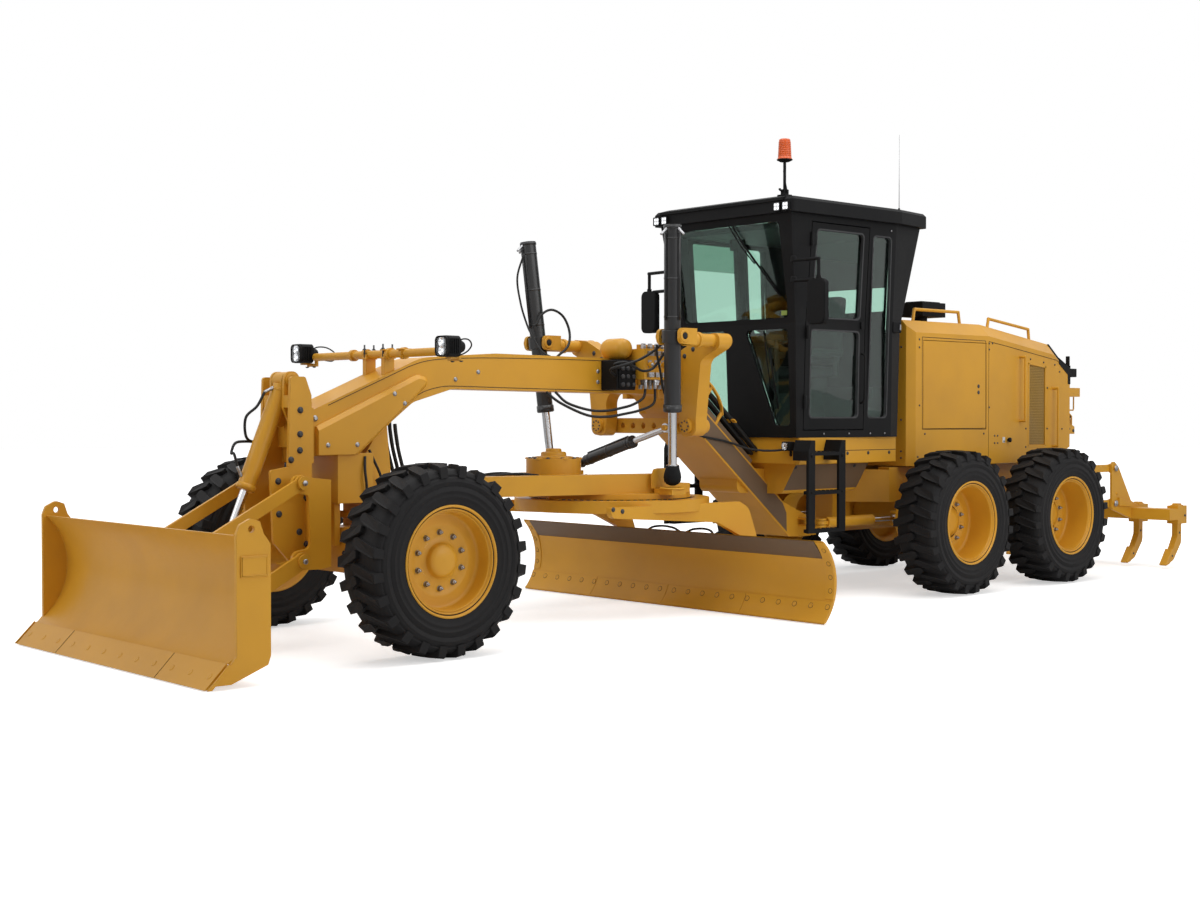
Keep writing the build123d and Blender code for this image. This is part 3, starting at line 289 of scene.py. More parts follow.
def surface(name, color, roughness=0.4, metallic=0.0, dust=(0.35, 0.27, 0.18), mottle=0.08, peel=0.05, edge=0.004,
            coat=0.0, gloss=0.5):
    material = bpy.data.materials.new(name)
    material.use_nodes = True
    nodes, link = material.node_tree.nodes, material.node_tree.links.new
    shader = nodes["Principled BSDF"]
    look = nodes.new("ShaderNodeGroup")
    look.node_tree = paintGroup
    look.inputs["Color"].default_value = (*color, 1)
    look.inputs["Dust"].default_value = (*dust, 1)
    look.inputs["Mottle"].default_value = mottle
    look.inputs["Roughness"].default_value = roughness
    look.inputs["Peel"].default_value = peel
    look.inputs["Edge"].default_value = edge
    link(look.outputs["Color"], shader.inputs["Base Color"])
    link(look.outputs["Roughness"], shader.inputs["Roughness"])
    link(look.outputs["Normal"], shader.inputs["Normal"])
    shader.inputs["Metallic"].default_value = metallic
    shader.inputs["Coat Weight"].default_value = coat
    shader.inputs["Coat Roughness"].default_value = 0.15
    shader.inputs["Specular IOR Level"].default_value = gloss
    return material


def glassSurface(name, color, roughness=0.02, ior=1.45):
    material = bpy.data.materials.new(name)
    material.use_nodes = True
    shader = material.node_tree.nodes["Principled BSDF"]
    shader.inputs["Base Color"].default_value = (*color, 1)
    shader.inputs["Roughness"].default_value = roughness
    shader.inputs["Transmission Weight"].default_value = 1.0
    shader.inputs["IOR"].default_value = ior
    return material


def glowSurface(name, color, strength):
    material = bpy.data.materials.new(name)
    material.use_nodes = True
    shader = material.node_tree.nodes["Principled BSDF"]
    shader.inputs["Base Color"].default_value = (*color, 1)
    shader.inputs["Emission Color"].default_value = (*color, 1)
    shader.inputs["Emission Strength"].default_value = strength
    shader.inputs["Roughness"].default_value = 0.2
    return material


yellow = surface("yellowPaint", (0.66, 0.325, 0.024), 0.34, dust=(0.47, 0.23, 0.03), mottle=0.35, peel=0.03,
                 coat=0.07,
                 gloss=0.3)
# Painted shade and reflection: a brown that stands in for the yellow paint in shadow and its dark reflection, used
# on the leg, the hull under the platform and the moldboard's top band.
shadeBrown = surface("paintedShadeBrown", (0.15, 0.095, 0.055), 0.42, dust=(0.10, 0.07, 0.045), mottle=0.35, peel=0.05,
                gloss=0.4)
black = surface("blackPaint", (0.009, 0.009, 0.0095), 0.45, dust=(0.02, 0.02, 0.02), mottle=0.3, peel=0.12,
                gloss=0.08)
barrelBlack = surface("blackBarrel", (0.014, 0.014, 0.015), 0.32, dust=(0.03, 0.03, 0.03), mottle=0.2, coat=0.15,
                      gloss=0.4)
rubber = surface("tyreRubber", (0.011, 0.0105, 0.011), 0.62, dust=(0.016, 0.015, 0.0145), mottle=0.5, peel=0.35,
                 gloss=0.18)
hoseRubber = surface("hoseRubber", (0.010, 0.010, 0.010), 0.5, dust=(0.02, 0.02, 0.02), peel=0.1, edge=0.0,
                     gloss=0.3)
chrome = surface("chromeRod", (0.62, 0.62, 0.63), 0.12, metallic=1.0, dust=(0.5, 0.5, 0.5), mottle=0.1, peel=0.0)
steel = surface("platedSteel", (0.33, 0.33, 0.34), 0.32, metallic=1.0, dust=(0.2, 0.19, 0.18), mottle=0.4,
                peel=0.05)
castMetal = surface("castMetal", (0.06, 0.06, 0.062), 0.5, metallic=0.6, dust=(0.03, 0.03, 0.03), mottle=0.4,
                    peel=0.3)
plastic = surface("cabPlastic", (0.03, 0.03, 0.032), 0.55, dust=(0.05, 0.05, 0.05), peel=0.25)
cloth = surface("seatCloth", (0.03, 0.03, 0.034), 0.85, dust=(0.06, 0.06, 0.06), mottle=0.4, peel=0.8)
cabGlass = glassSurface("greenGlass", (0.60, 0.80, 0.71))
shadeGlass = glassSurface("shadeBand", (0.34, 0.46, 0.40))
greenMark = surface("greenLabel", (0.22, 0.30, 0.05), 0.5, mottle=0.0)
lampGlass = glassSurface("clearLens", (0.95, 0.96, 0.97), 0.03)
amber = surface("amberLens", (0.62, 0.085, 0.004), 0.22, dust=(0.7, 0.13, 0.01), mottle=0.3, peel=0.0, coat=0.2,
                gloss=0.3)
mirrorFace = surface("mirrorFace", (0.8, 0.8, 0.8), 0.03, metallic=1.0, mottle=0.0, peel=0.0, edge=0.0)
darkGap = surface("darkGap", (0.004, 0.004, 0.004), 0.8, mottle=0.0, peel=0.0, edge=0.0)
whiteMark = surface("whiteCap", (0.75, 0.75, 0.74), 0.4, mottle=0.0)
ledGlow = glowSurface("ledLight", (0.9, 0.95, 1.0), 0.8)
grille = surface("grilleMesh", (0.42, 0.24, 0.04), 0.5, mottle=0.2, edge=0.0)
# Painted shade: darkened yellow for the shadowed recess behind the grille mesh.
grilleShade = surface("grilleShade", (0.10, 0.065, 0.014), 0.7, mottle=0.2, edge=0.0)
redLens = surface("redLens", (0.35, 0.01, 0.008), 0.15, mottle=0.1, peel=0.0, coat=0.6)

finishes = {
    "machine_yellow": yellow, "black_paint": black, "tyre_rubber": rubber, "chrome_rod": chrome,
    "cast_metal": castMetal, "cab_glazing": cabGlass, "seat_cloth": cloth, "cab_plastic": plastic,
    "amber_plastic": amber,
}
record = frame["record"]
slotOf = {s["node"]: s["material_slot"] for s in record["subparts"]}
byHand = {"lift_barrels": barrelBlack, "centershift_barrel": barrelBlack, "valve_block": yellow}
for name, obj in frame["nodes"].items():
    finish = byHand.get(name) or finishes[slotOf[name]]
    obj.data.materials.clear()
    obj.data.materials.append(finish)
print("materials", len(bpy.data.materials))

# Wheels: one shape each for tyre, rim and nuts, set in six places.
wheelSizes = {
    "radius": 608, "half": 196, "bead": 322, "carcass": 571, "lugs": 24, "rimLip": 351, "rimHalf": 190,
    "nuts": 10, "nutCircle": 175, "track": 1040, "height": 610,
}


# Carcass and tread blocks round the y axis at the origin; side is 1 for a left wheel.
def tyreMesh(side):
    s = wheelSizes
    build = Build()
    half, base = s["half"], s["carcass"]
    profile = [(s["bead"], -172), (s["bead"] + 22, -182), (372, -187), (392, -189), (396, -193), (404, -193),
               (408, -190), (430, -192), (432, -195.5), (438, -195.7), (440, -193), (462, -195), (464, -192),
               (468, -192),
               (470, -half + 1), (488, -half + 2), (490, -half), (497, -half), (499, -half + 3), (505, -half + 3),
               (522, -half + 9), (524, -half + 14), (530, -half + 14), (532, -half + 11), (540, -half + 14),
               (560, -half + 32), (base, -half + 52),
               (base + 3, -60), (base + 4, 0)]
    profile += [(r, -h) for r, h in reversed(profile[:-1])]
    build.lathe(profile, (middleX, 0, 0), (0, 1, 0), 120)
    count = s["lugs"]
    for row in (-1, 1):
        for i in range(count):
            turn = math.tau * (i + (0.5 if row > 0 else 0)) / count
            # corners of one lug: place across the tread, and angle ahead
            edge = half - 3
            outline = [(6, 0.052), (60, 0.012), (edge - 20, -0.045), (edge, -0.045), (edge, 0.062),
                       (edge - 20, 0.070),
                       (74, 0.132), (2, 0.165), (-22, 0.150), (-26, 0.085)]
            low, high = [], []
            for k, (y, a) in enumerate(outline):
                top = s["radius"] - (9 if y > edge - 30 else 2 + 4 * (abs(y) / edge) ** 2)
                if y >= edge - 1:
                    top -= 10
                foot = base - 12 if y < edge - 1 else 520
                yFoot = y + (2 if y > edge - 1 else 0)
                middle = 0.055
                shrunk = middle + (a - middle) * 0.90
                for rows, radius, angle, across in ((low, foot, a, yFoot), (high, top, shrunk, y * 0.985)):
                    t = turn + angle * side
                    rows.append((math.cos(t) * radius / 1000, across * row / 1000, math.sin(t) * radius / 1000))
            n = len(outline)
            faces = [tuple(range(n, 2 * n))] + [(k, (k + 1) % n, (k + 1) % n + n, k + n) for k in range(n)]
            build.add(low + high, faces)
    return build


# Drop-centre rim with its dished disc and hub; offset is the disc's place across the wheel.
def rimMesh(offset, domed):
    s = wheelSizes
    lip, half = s["rimLip"], s["rimHalf"]
    build = Build()
    outside = [(lip - 4, half - 14), (lip, half - 8), (lip, half - 3), (lip - 5, half), (lip - 12, half - 1),
               (lip - 16, half - 7), (lip - 18, half - 20), (328, half - 20), (326, half - 12), (320, half - 11),
               (317, half - 15), (316, half - 32), (312, half - 32), (309, half - 26), (305, half - 30),
               (303, half - 45), (303, offset + 30), (297, offset + 14), (282, offset + 8), (232, offset + 14),
               (212, offset + 14), (206, offset + 10), (140, offset + 12)]
    inside = [(lip - 4, -half + 14), (lip, -half + 8), (lip, -half + 3), (lip - 5, -half), (lip - 14, -half + 2),
              (lip - 20, -half + 10), (312, -half + 24), (303, -half + 45), (303, offset - 30), (290, offset - 12),
              (140, offset - 10)]
    build.lathe(outside, (middleX, 0, 0), (0, 1, 0), 96)
    build.lathe(inside, (middleX, 0, 0), (0, 1, 0), 96)
    build.lathe([(lip - 4, half - 14), (336, half - 16), (330, 160), (322, 140), (322, -140), (330, -160),
                 (336, -half + 16), (lip - 4, -half + 14)], (middleX, 0, 0), (0, 1, 0), 96)
    if domed:
        hub = [(140, offset + 12), (132, offset + 16), (112, offset + 18), (108, offset + 24), (105, offset + 48),
               (96, offset + 62), (74, offset + 72), (40, offset + 78), (0.01, offset + 80)]
    else:
        hub = [(140, offset + 12), (120, offset + 14), (116, offset + 34), (100, offset + 38), (96, offset + 44),
               (60, offset + 46), (0.01, offset + 46)]
    build.lathe(hub, (middleX, 0, 0), (0, 1, 0), 48)
    build.lathe([(110, offset - 100), (112, offset - 60), (190, offset - 42), (196, offset - 12)],
                (middleX, 0, 0), (0, 1, 0), 48)
    return build


def nutMesh(offset):
    build = Build()
    s = wheelSizes
    for i in range(s["nuts"]):
        t = math.tau * (i + 0.5) / s["nuts"]
        place = (middleX + s["nutCircle"] * math.cos(t), offset + 10, s["nutCircle"] * math.sin(t))
        build.lathe([(19, 0), (19, 6), (17, 7)], place, (0, 1, 0), 20)
        build.lathe([(15, 6), (15, 20), (12, 24), (0.01, 25)], place, (0, 1, 0), 6, smooth=False)
        build.lathe([(8, 24), (8, 34), (0.01, 35)], place, (0, 1, 0), 12)
    return build


# Place along the machine, the disc's place across the wheel, and whether the hub is domed
wheelPlaces = {"front": (6200, 40, True), "middle": (761.5, -70, False), "rear": (-761.5, -70, False)}
for row, (x, offset, domed) in wheelPlaces.items():
    for side, sign in (("left", 1), ("right", -1)):
        body = f"wheel_{row}_{side}"
        move = Matrix.Translation(at(x, wheelSizes["track"] * sign, wheelSizes["height"]))
        if sign < 0:
            move = move @ Matrix.Rotation(math.pi, 4, "Z")
        parts = (("tyre", tyreMesh(sign), rubber), ("rim", rimMesh(offset, domed), yellow),
                 ("nuts", nutMesh(offset), steel))
        for what, build, material in parts:
            piece = build.finish(f"{what}_{row}_{side}", material, None)
            piece.data.transform(move)
            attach(piece, body)
            if what == "tyre":
                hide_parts(body)
print("wheels done")


# Rubber hose through points in millimetres.
def hose(name, points, radius, body):
    line = smoothPath(points, 10)
    piece = Build().tube(line, radius, 14).finish(name, hoseRubber, body)
    return piece


# Crimped sleeve and hexagon nut where a hose leaves its port.
def fitting(build, place, toward, radius=13):
    p, q = Vector(place), Vector(toward)
    step = (q - p).normalized()
    build.lathe([(0.01, 0), (radius * 1.25, 0), (radius * 1.25, 22), (radius, 24)], place, step, 6, smooth=False)
    build.lathe([(radius, 22), (radius * 1.05, 30), (radius * 1.05, 66), (radius * 0.9, 72), (0.01, 72)],
                place, step, 20)
    return build


def boltRow(build, places, axis, size=12):
    for place in places:
        build.bolt(place, axis, size)
    return build


# Front dozer: mount, blade and cylinder.
dozerLook = {"mountBolt": 15, "edgeBolts": 12, "edgeSeams": (-662, 662), "edgeReach": 1190}
mountBolts = [(6630, 1544), (6632, 1389), (6634, 1285), (6700, 1225), (6795, 1090), (6790, 880), (6640, 760)]
build = Build()
boltRow(build, [(x, 180, z) for x, z in mountBolts], (0, 1, 0), dozerLook["mountBolt"])
boltRow(build, [(6600, y, z) for y in (60, 200) for z in (680, 980)], (1, 0, 0), 16)
build.mirrored().finish("dozer_mount_bolts", castMetal, "front_frame")
build = Build()
for z in (1080, 582):
    build.lathe([(17, 0), (17, 10), (13, 13), (0.01, 13)], (6700, 345, z), (0, 1, 0), 20)
build.lathe([(24, 0), (24, 6), (20, 9), (0.01, 9)], (6640, 100, 1737), (0, 1, 0), 24)
build.mirrored().finish("dozer_pin_ends", steel, "front_frame")
build = Build()
build.lathe([(44, 0), (44, 9), (26, 9), (26, 0)], (6640, 90, 1737), (0, 1, 0), 32)
build.box((6612, 90, 1640), (6668, 99, 1737))
build.lathe([(28, 0), (28, 9), (0.01, 9)], (6640, 90, 1640), (0, 1, 0), 24)
build.mirrored().finish("dozer_pin_keepers", yellow, "front_frame", 2)
build = Build()
build.bolt((6640, 99, 1645), (0, 1, 0), 11)
build.mirrored().finish("keeper_bolts", castMetal, "front_frame")

edgeDark = Build()
slope = Vector((7909 - 7773, 0, 8 - 144)).normalized()
outward = squareTo(slope)
for y in dozerLook["edgeSeams"]:
    low = Vector((7905, y, 12))
    high = low - slope * 182
    edgeDark.tube([at(*(low + outward * 0.6)), at(*(high + outward * 0.6))], 1.6, 8)
edgeDark.finish("dozer_edge_seams", darkGap, "dozer_blade")
build = Build()
for i in range(dozerLook["edgeBolts"]):
    y = -dozerLook["edgeReach"] + 2 * dozerLook["edgeReach"] * i / (dozerLook["edgeBolts"] - 1)
    place = Vector((7909, y, 8)) - slope * 92
    build.lathe([(19, 0.0), (19, 1.6), (15, 2.6), (9, 1.0), (0.01, 1.0)], place, outward, 20)
build.finish("dozer_edge_bolts", yellow, "dozer_blade")
build = Build()
for sign in (1, -1):
    face = 1276 * sign
    build.box((7524, min(face, face + 8 * sign), 612), (7700, max(face, face + 8 * sign), 732))
build.finish("dozer_end_pads", yellow, "dozer_blade", 4)
build = Build()
for x0, x1, z0, z1 in ((7532, 7692, 620, 626), (7532, 7692, 718, 724), (7532, 7538, 620, 724),
                       (7686, 7692, 620, 724)):
    build.box((x0, 1283, z0), (x1, 1287, z1))
build.mirrored().finish("dozer_pad_frames", yellow, "dozer_blade", 1.5)

top = Vector((6640, 0, 1737))
cylinderAxis = (Vector((7180, 0, 430)) - top).normalized()
across = squareTo(cylinderAxis)
build = Build()
build.lathe([(59, 0), (64, 2), (64, 34), (59, 36)], top + cylinderAxis * 724, cylinderAxis, 40)
build.lathe([(58.5, 0), (61, 1), (61, 14), (58.5, 15)], top + cylinderAxis * 70, cylinderAxis, 40)
build.finish("dozer_cylinder_bands", yellow, "dozer_barrel")
ports = Build()
upperPort = top + cylinderAxis * 75 + across * 56
lowerPort = top + cylinderAxis * 690 + across * 56
fitting(ports, upperPort, upperPort + across * 100 + Vector((0, 0, -80)), 10)
fitting(ports, lowerPort, lowerPort + across * 60 + Vector((0, 0, 100)), 10)
ports.finish("dozer_cylinder_ports", steel, "dozer_barrel")
upperEnd = upperPort + (across * 100 + Vector((0, 0, -80))).normalized() * 70
lowerEnd = lowerPort + (across * 60 + Vector((0, 0, 100))).normalized() * 70
hose("dozer_hose_upper", [upperEnd, upperEnd + Vector((50, -8, -90)), (6905, -25, 1500), (6900, -45, 1395),
                          (6850, -70, 1345), (6740, -95, 1335)], 9, "dozer_barrel")
hose("dozer_hose_lower", [lowerEnd, lowerEnd + Vector((18, -10, 80)), (7000, -48, 1270), (6965, -62, 1330),
                          (6890, -80, 1342), (6740, -115, 1335)], 9, "dozer_barrel")
print("dozer details done")

# Front frame: seams, bolts and lamps.
build = Build()
seamTop = [(6400, 1576), (5900, 1781), (5740, 1846), (5600, 1884), (5430, 1903), (5200, 1913), (5000, 1918),
           (4500, 1922), (3860, 1921)]
seamLow = [(5730, 1620), (5640, 1668), (5540, 1697), (5440, 1712), (5300, 1713), (4900, 1707), (4300, 1700),
           (3860, 1695)]
for line in (seamTop, seamLow):
    build.tube([p + Vector((0, 0.1506, 0)) for p in smoothPath([(x, 0, z) for x, z in line], 6)], 2.2, 8)
build.mirrored().finish("frame_seams", darkGap, "front_frame")
build = Build()
for x, z in ((6430, 1316), (6203, 1317), (5902, 1655), (5819, 1590)):
    build.bolt((x, 195, z), (0, 1, 0), 11)
for x, z in ((5157, 1815), (5358, 1760), (4020, 1840), (4020, 1760)):
    build.bolt((x, 150, z), (0, 1, 0), 11)
build.bolt((6500, 150, 1490), (0, 1, 0), 14)
build.mirrored().finish("frame_bolts", steel, "front_frame")

lampLook = {"low": (812, 1896), "high": (920, 2008), "bowl": 30, "rows": (1980, 1924), "middle": 866}


def roundedRect(y0, z0, y1, z1, radius, steps=5):
    points = []
    for cy, cz, quarter in ((y1 - radius, z1 - radius, 0), (y0 + radius, z1 - radius, 1),
                            (y0 + radius, z0 + radius, 2), (y1 - radius, z0 + radius, 3)):
        for k in range(steps + 1):
            a = math.pi / 2 * (quarter + k / steps)
            points.append((cy + radius * math.cos(a), cz + radius * math.sin(a)))
    return points


y0, z0 = lampLook["low"]
y1, z1 = lampLook["high"]
Build().prism(roundedRect(y0, z0, y1, z1, 26), "x", 6000, 6003).mirrored().finish(
    "front_lamp_wells", darkGap, "front_frame")
build = Build()
for z in lampLook["rows"]:
    build.lathe([(2, 0), (16, 1), (24, 4), (lampLook["bowl"], 9), (lampLook["bowl"] + 2, 9)],
                (6002, lampLook["middle"], z), (1, 0, 0), 32)
build.mirrored().finish("front_lamp_bowls", chrome, "front_frame")
build = Build()
for z in lampLook["rows"]:
    build.lathe([(13, 2), (9, 6), (0.01, 8)], (6002, lampLook["middle"], z), (1, 0, 0), 20)
build.mirrored().finish("front_lamp_cores", ledGlow, "front_frame")
Build().prism(roundedRect(y0 - 4, z0 - 4, y1 + 4, z1 + 4, 28), "x", 6012, 6016).mirrored().finish(
    "front_lamp_lenses", lampGlass, "front_frame")
build = Build()
outer, inner = roundedRect(y0 - 10, z0 - 10, y1 + 10, z1 + 10, 32), roundedRect(y0, z0, y1, z1, 26)
build.skin([[at(x, y, z) for y, z in loop] for x, loop in
            ((5999, outer), (6018, outer), (6018, inner), (5999, inner))], closed=True)
for i in range(5):
    build.box((5925 + i * 14, 793, 1905), (5931 + i * 14, 939, 2000))
build.mirrored().finish("front_lamp_frames", black, "front_frame")
build = Build()
for y in (110, 300):
    build.box((5852, y - 24, 1947), (5948, y + 24, 1957))
for y in (-110, 110):
    build.box((5852, y - 30, 1893), (5948, y + 30, 1905))
build.finish("lamp_clamps", yellow, "front_frame", 3)
build = Build()
for y in (-110, 110):
    for x in (5862, 5938):
        build.rod((x, y, 1900), (x, y, 1992), 6, 12)
        build.bolt((x, y, 1957), (0, 0, 1), 11)
for y in (820, 912):
    build.bolt((5890, y, 1860), (0, 0, -1), 10)
build.mirrored().finish("lamp_studs", castMetal, "front_frame")
for sign, side in ((1, "left"), (-1, "right")):
    hose(f"lamp_wire_{side}", [(5880, 866 * sign, 1985), (5830, 858 * sign, 2003), (5770, 840 * sign, 1998),
                               (5728, 810 * sign, 1965), (5740, 775 * sign, 1925), (5790, 745 * sign, 1900),
                               (5860, 720 * sign, 1902)], 5, "front_frame")
print("front details done")

# Lift cylinders, valves and hoses round the saddle.
pivot, foot = Vector((3837, 760, 2087)), Vector((3760, 683, 1050))
liftAxis = (foot - pivot).normalized()
out = Vector((0, 1, 0)) - liftAxis * liftAxis.y
out.normalize()
ahead = Vector((1, 0, 0)) - liftAxis * liftAxis.x
ahead.normalize()
barrelTop = pivot - liftAxis * 810
build = Build()
build.lathe([(0.01, -2), (50, -2), (58, 2), (66, 8), (66, 26), (62.5, 28)], barrelTop, liftAxis, 40)
build.lathe([(62.5, 0), (69, 2), (69, 46), (66, 52), (58, 56)], pivot + liftAxis * 500, liftAxis, 40)
build.mirrored().finish("lift_barrel_caps", barrelBlack, "lift_barrels")
build = Build()
build.rod(barrelTop + liftAxis * 60 + ahead * 73, pivot - liftAxis * 120 + ahead * 73, 7, 12)
build.rod(barrelTop + liftAxis * 60 + out * 73, pivot - liftAxis * 120 + out * 73, 6, 12)
build.mirrored().finish("lift_pipes", barrelBlack, "lift_barrels")
build = Build()
for step in (90, 380, 660):
    build.lathe([(62, 0), (64, 1), (64, 13), (62, 14)], barrelTop + liftAxis * step, liftAxis, 32)
build.mirrored().finish("lift_bands", barrelBlack, "lift_barrels")
build = Build()
for direction in (ahead, out):
    start = barrelTop + liftAxis * 28 + direction * 60
    fitting(build, start, start + direction * 40 + liftAxis * 30, 9)
build.mirrored().finish("lift_fittings", steel, "lift_barrels")
build = Build()
for sign in (1, -1):
    base = Vector((3760, 683 * sign, 1050))
    axis = (Vector((3837, 760 * sign, 2087)) - base).normalized()
    body = "lift_rod_left" if sign > 0 else "lift_rod_right"
    boot = Build()
    boot.lathe([(34, 96), (50, 92), (54, 60), (62, 34), (66, 4), (62, -26), (46, -46), (20, -58), (0.01, -58)],
               base, axis, 36)
    boot.finish(f"lift_ball_boot_{'left' if sign > 0 else 'right'}", black, body)
    seat = Build()
    seat.lathe([(96, 0), (96, 8), (84, 12), (70, 12)], (3760, 683 * sign, 968), (0, 0, 1), 36)
    seat.finish(f"lift_ball_seat_{'left' if sign > 0 else 'right'}", yellow, "drawbar", 2)
build = Build()
build.prism([(3668, 968), (3860, 968), (3860, 1060), (3840, 1110), (3800, 1118), (3700, 1118), (3672, 1090)],
            "y", 556, 566)
build.mirrored().finish("lift_seat_plates", yellow, "drawbar", 3)

yokeLook = {"middle": 760, "half": 125, "shaftZ": 2070}
build = Build()
for turn in (-1, 1):
    face = yokeLook["middle"] + turn * (yokeLook["half"] + 1)
    build.lathe([(24, 0), (24, 5), (20, 8), (0.01, 8)], (pivot.x, face, pivot.z), (0, turn, 0), 24)
build.mirrored().finish("yoke_pin_ends", darkGap, "front_frame")
build = Build()
for turn in (-1, 1):
    face = yokeLook["middle"] + turn * yokeLook["half"]
    build.lathe([(46, 0), (46, 6), (42, 8), (27, 8), (27, 0)], (pivot.x, face, pivot.z), (0, turn, 0), 32)
build.lathe([(52, 0), (56, 6), (56, 40), (52, 44), (40, 48), (0.01, 48)],
            (3300, yokeLook["middle"], yokeLook["shaftZ"]), (-1, 0, 0), 36)
build.lathe([(49, 0), (58, 4), (58, 30), (49, 34)], (3560, yokeLook["middle"], yokeLook["shaftZ"]), (1, 0, 0), 36)
for x in (3420, 3330):
    build.bolt((x - 10, 500, 1483), (0, 0, 1), 12)
build.mirrored().finish("yoke_details", yellow, "front_frame", 1.5)
build = Build()
build.lathe([(34, 46), (34, 54), (30, 57), (0.01, 57)],
            (3300, yokeLook["middle"], yokeLook["shaftZ"]), (-1, 0, 0), 28)
build.mirrored().finish("yoke_shaft_caps", whiteMark, "front_frame")
build = Build()
for i in range(8):
    a = math.tau * i / 8
    build.bolt((3450, 500 + 38 * math.cos(a), 1428 + 38 * math.sin(a)), (1, 0, 0), 7, False)
for y, z in ((330, 1900), (330, 1770), (470, 1960), (560, 2010)):
    build.bolt((3420, y, z), (1, 0, 0), 13)
build.mirrored().finish("saddle_bolts", castMetal, "front_frame")

valveLook = {"columns": (3520, 3590, 3660, 3730), "face": 410}
build, pipes, tags = Build(), Build(), Build()
for x in valveLook["columns"]:
    for z, turn in ((2010, 1), (1780, -1)):
        build.lathe([(22, 0), (24, 3), (24, 22), (20, 25), (20, 40), (14, 44), (0.01, 44)], (x, 340, z),
                    (0, 0, turn), 6, smooth=False)
    for z in (1975, 1815):
        pipes.box((x - 26, valveLook["face"], z - 18), (x + 26, valveLook["face"] + 24, z + 18))
        pipes.bolt((x - 14, 434, z), (0, 1, 0), 6, False)
        pipes.bolt((x + 14, 434, z), (0, 1, 0), 6, False)
    tags.box((x - 20, valveLook["face"], 1870), (x + 20, valveLook["face"] + 3, 1925))
    build.bolt((x, 440, 1890), (0, 1, 0), 10)
for x in (3520, 3620, 3720):
    fitting(pipes, (x, 300, 1780), (x, 300, 1600), 16)
    fitting(pipes, (x + 30, 380, 1780), (x + 30, 395, 1600), 14)
build.finish("valve_spools", steel, "front_frame")
pipes.finish("valve_ports", steel, "front_frame", 1.5)
tags.finish("valve_tags", steel, "front_frame", 1)
build = Build()
build.box((3800, 150, 1700), (3990, 330, 1925))
build.box((3812, 330, 1712), (3978, 345, 1912))
build.finish("relay_box", black, "front_frame", 8)
build = Build()
for z in (1740, 1800, 1860):
    for x in (3840, 3900, 3950):
        build.lathe([(16, 0), (16, 14), (12, 18), (0.01, 18)], (x, 345, z), (0, 1, 0), 16)
build.finish("relay_plugs", plastic, "front_frame")
build = Build()
build.lathe([(0.01, -10), (46, 0), (70, 16), (80, 44), (80, 190), (70, 222), (46, 240), (0.01, 248)],
            (3860, 60, 2010), (0, 1, 0), 36)
build.finish("accumulator", yellow, "front_frame")

hose("valve_hose_a", [(3980, 345, 1860), (4060, 380, 1888), (4000, 430, 1902), (3930, 455, 1868), (3850, 470, 1840),
                      (3755, 478, 1866), (3700, 520, 1960), (3655, 560, 2040), (3620, 600, 2170), (3650, 640, 2260),
                      (3730, 680, 2240), (3790, 712, 2180)], 10, "front_frame")
hose("valve_hose_b", [(3980, 300, 1800), (4080, 360, 1850), (4010, 470, 1890), (3900, 500, 1930), (3760, 520, 2010),
                      (3690, 560, 2100), (3670, 600, 2200), (3710, 650, 2270), (3793, 716, 2290)], 10,
     "front_frame")
hose("valve_hose_c", [(3860, 620, 2030), (3850, 612, 1960), (3815, 606, 1850), (3780, 604, 1710), (3730, 590, 1640),
                      (3600, 500, 1600), (3440, 400, 1620)], 9, "front_frame")
hose("valve_hose_d", [(3750, 385, 1712), (3790, 400, 1640), (3900, 405, 1590), (4010, 400, 1565), (4130, 380, 1545),
                      (4260, 330, 1548), (4400, 240, 1600), (4440, 150, 1680)], 10, "front_frame")
hose("valve_hose_e", [(3650, 385, 1712), (3700, 420, 1600), (3850, 430, 1548), (4010, 425, 1520), (4150, 400, 1500),
                      (4300, 340, 1512), (4460, 230, 1600), (4520, 140, 1680)], 10, "front_frame")
hose("far_lift_hose",
     [(3980, -400, 1900), (3900, -470, 1960), (3700, -560, 2060), (3640, -610, 2180), (3680, -640, 2300),
                       (3780, -660, 2350), (3880, -668, 2310), (3940, -672, 2220)], 10, "front_frame")
hose("far_lift_pipe", [pivot + Vector((150, -1520, 700)), (4030, -790, 2600), (4005, -780, 2400),
                       (3965, -760, 2250), (3960, -700, 2150), (3930, -600, 2010), (3880, -450, 1940)], 8,
     "lift_barrels")
frameHoses = {"count": 5, "pitch": 26, "radius": 13}
for i in range(frameHoses["count"]):
    x, y = 5915 - frameHoses["pitch"] * i, -40 + frameHoses["pitch"] * i
    hose(f"frame_hose_{i + 1}", [(x, y, 1500 - 12 * i), (x - 6, y, 1400), (x - 28, y, 1280), (x - 62, y, 1160),
                                 (x - 90, y + 6, 1040), (x - 95, y + 20, 960)],
         frameHoses["radius"], "front_frame")
hose("axle_hose_a", [(6128, 172, 1238), (6140, 190, 1150), (6132, 196, 1050), (6120, 185, 940)], 9, "front_frame")
hose("axle_hose_b", [(6060, 120, 1280), (6030, 140, 1200), (5990, 150, 1110), (5960, 140, 1010)], 9, "front_frame")
print("saddle details done")

# Conduits, guards and cable along the leg.
conduitLook = {"pipes": 7, "radius": 17, "spread": 42, "legTop": (3265, 0, 1795), "legFoot": (2030, 0, 795)}
slant = (Vector(conduitLook["legFoot"]) - Vector(conduitLook["legTop"])).normalized()
normal = -squareTo(slant)
build, straps = Build(), Build()
topOf = Vector((3180, 0, 1726))
for i in range(conduitLook["pipes"]):
    side = 80 + conduitLook["spread"] * 0.9 * (i % 4)
    lift = 22 + conduitLook["spread"] * (i // 4) + 34 * (i % 4)
    a = topOf + Vector((0, side, 0)) + normal * (lift + 40)
    line = smoothPath([a - slant * 160 + normal * 40, a, a + slant * 350 + normal * 6, a + slant * 700,
                       a + slant * 1000 - normal * 4], 8)
    build.tube(line, conduitLook["radius"], 12)
    build.tube([Vector((p.x, -p.y, p.z)) for p in line], conduitLook["radius"], 12)
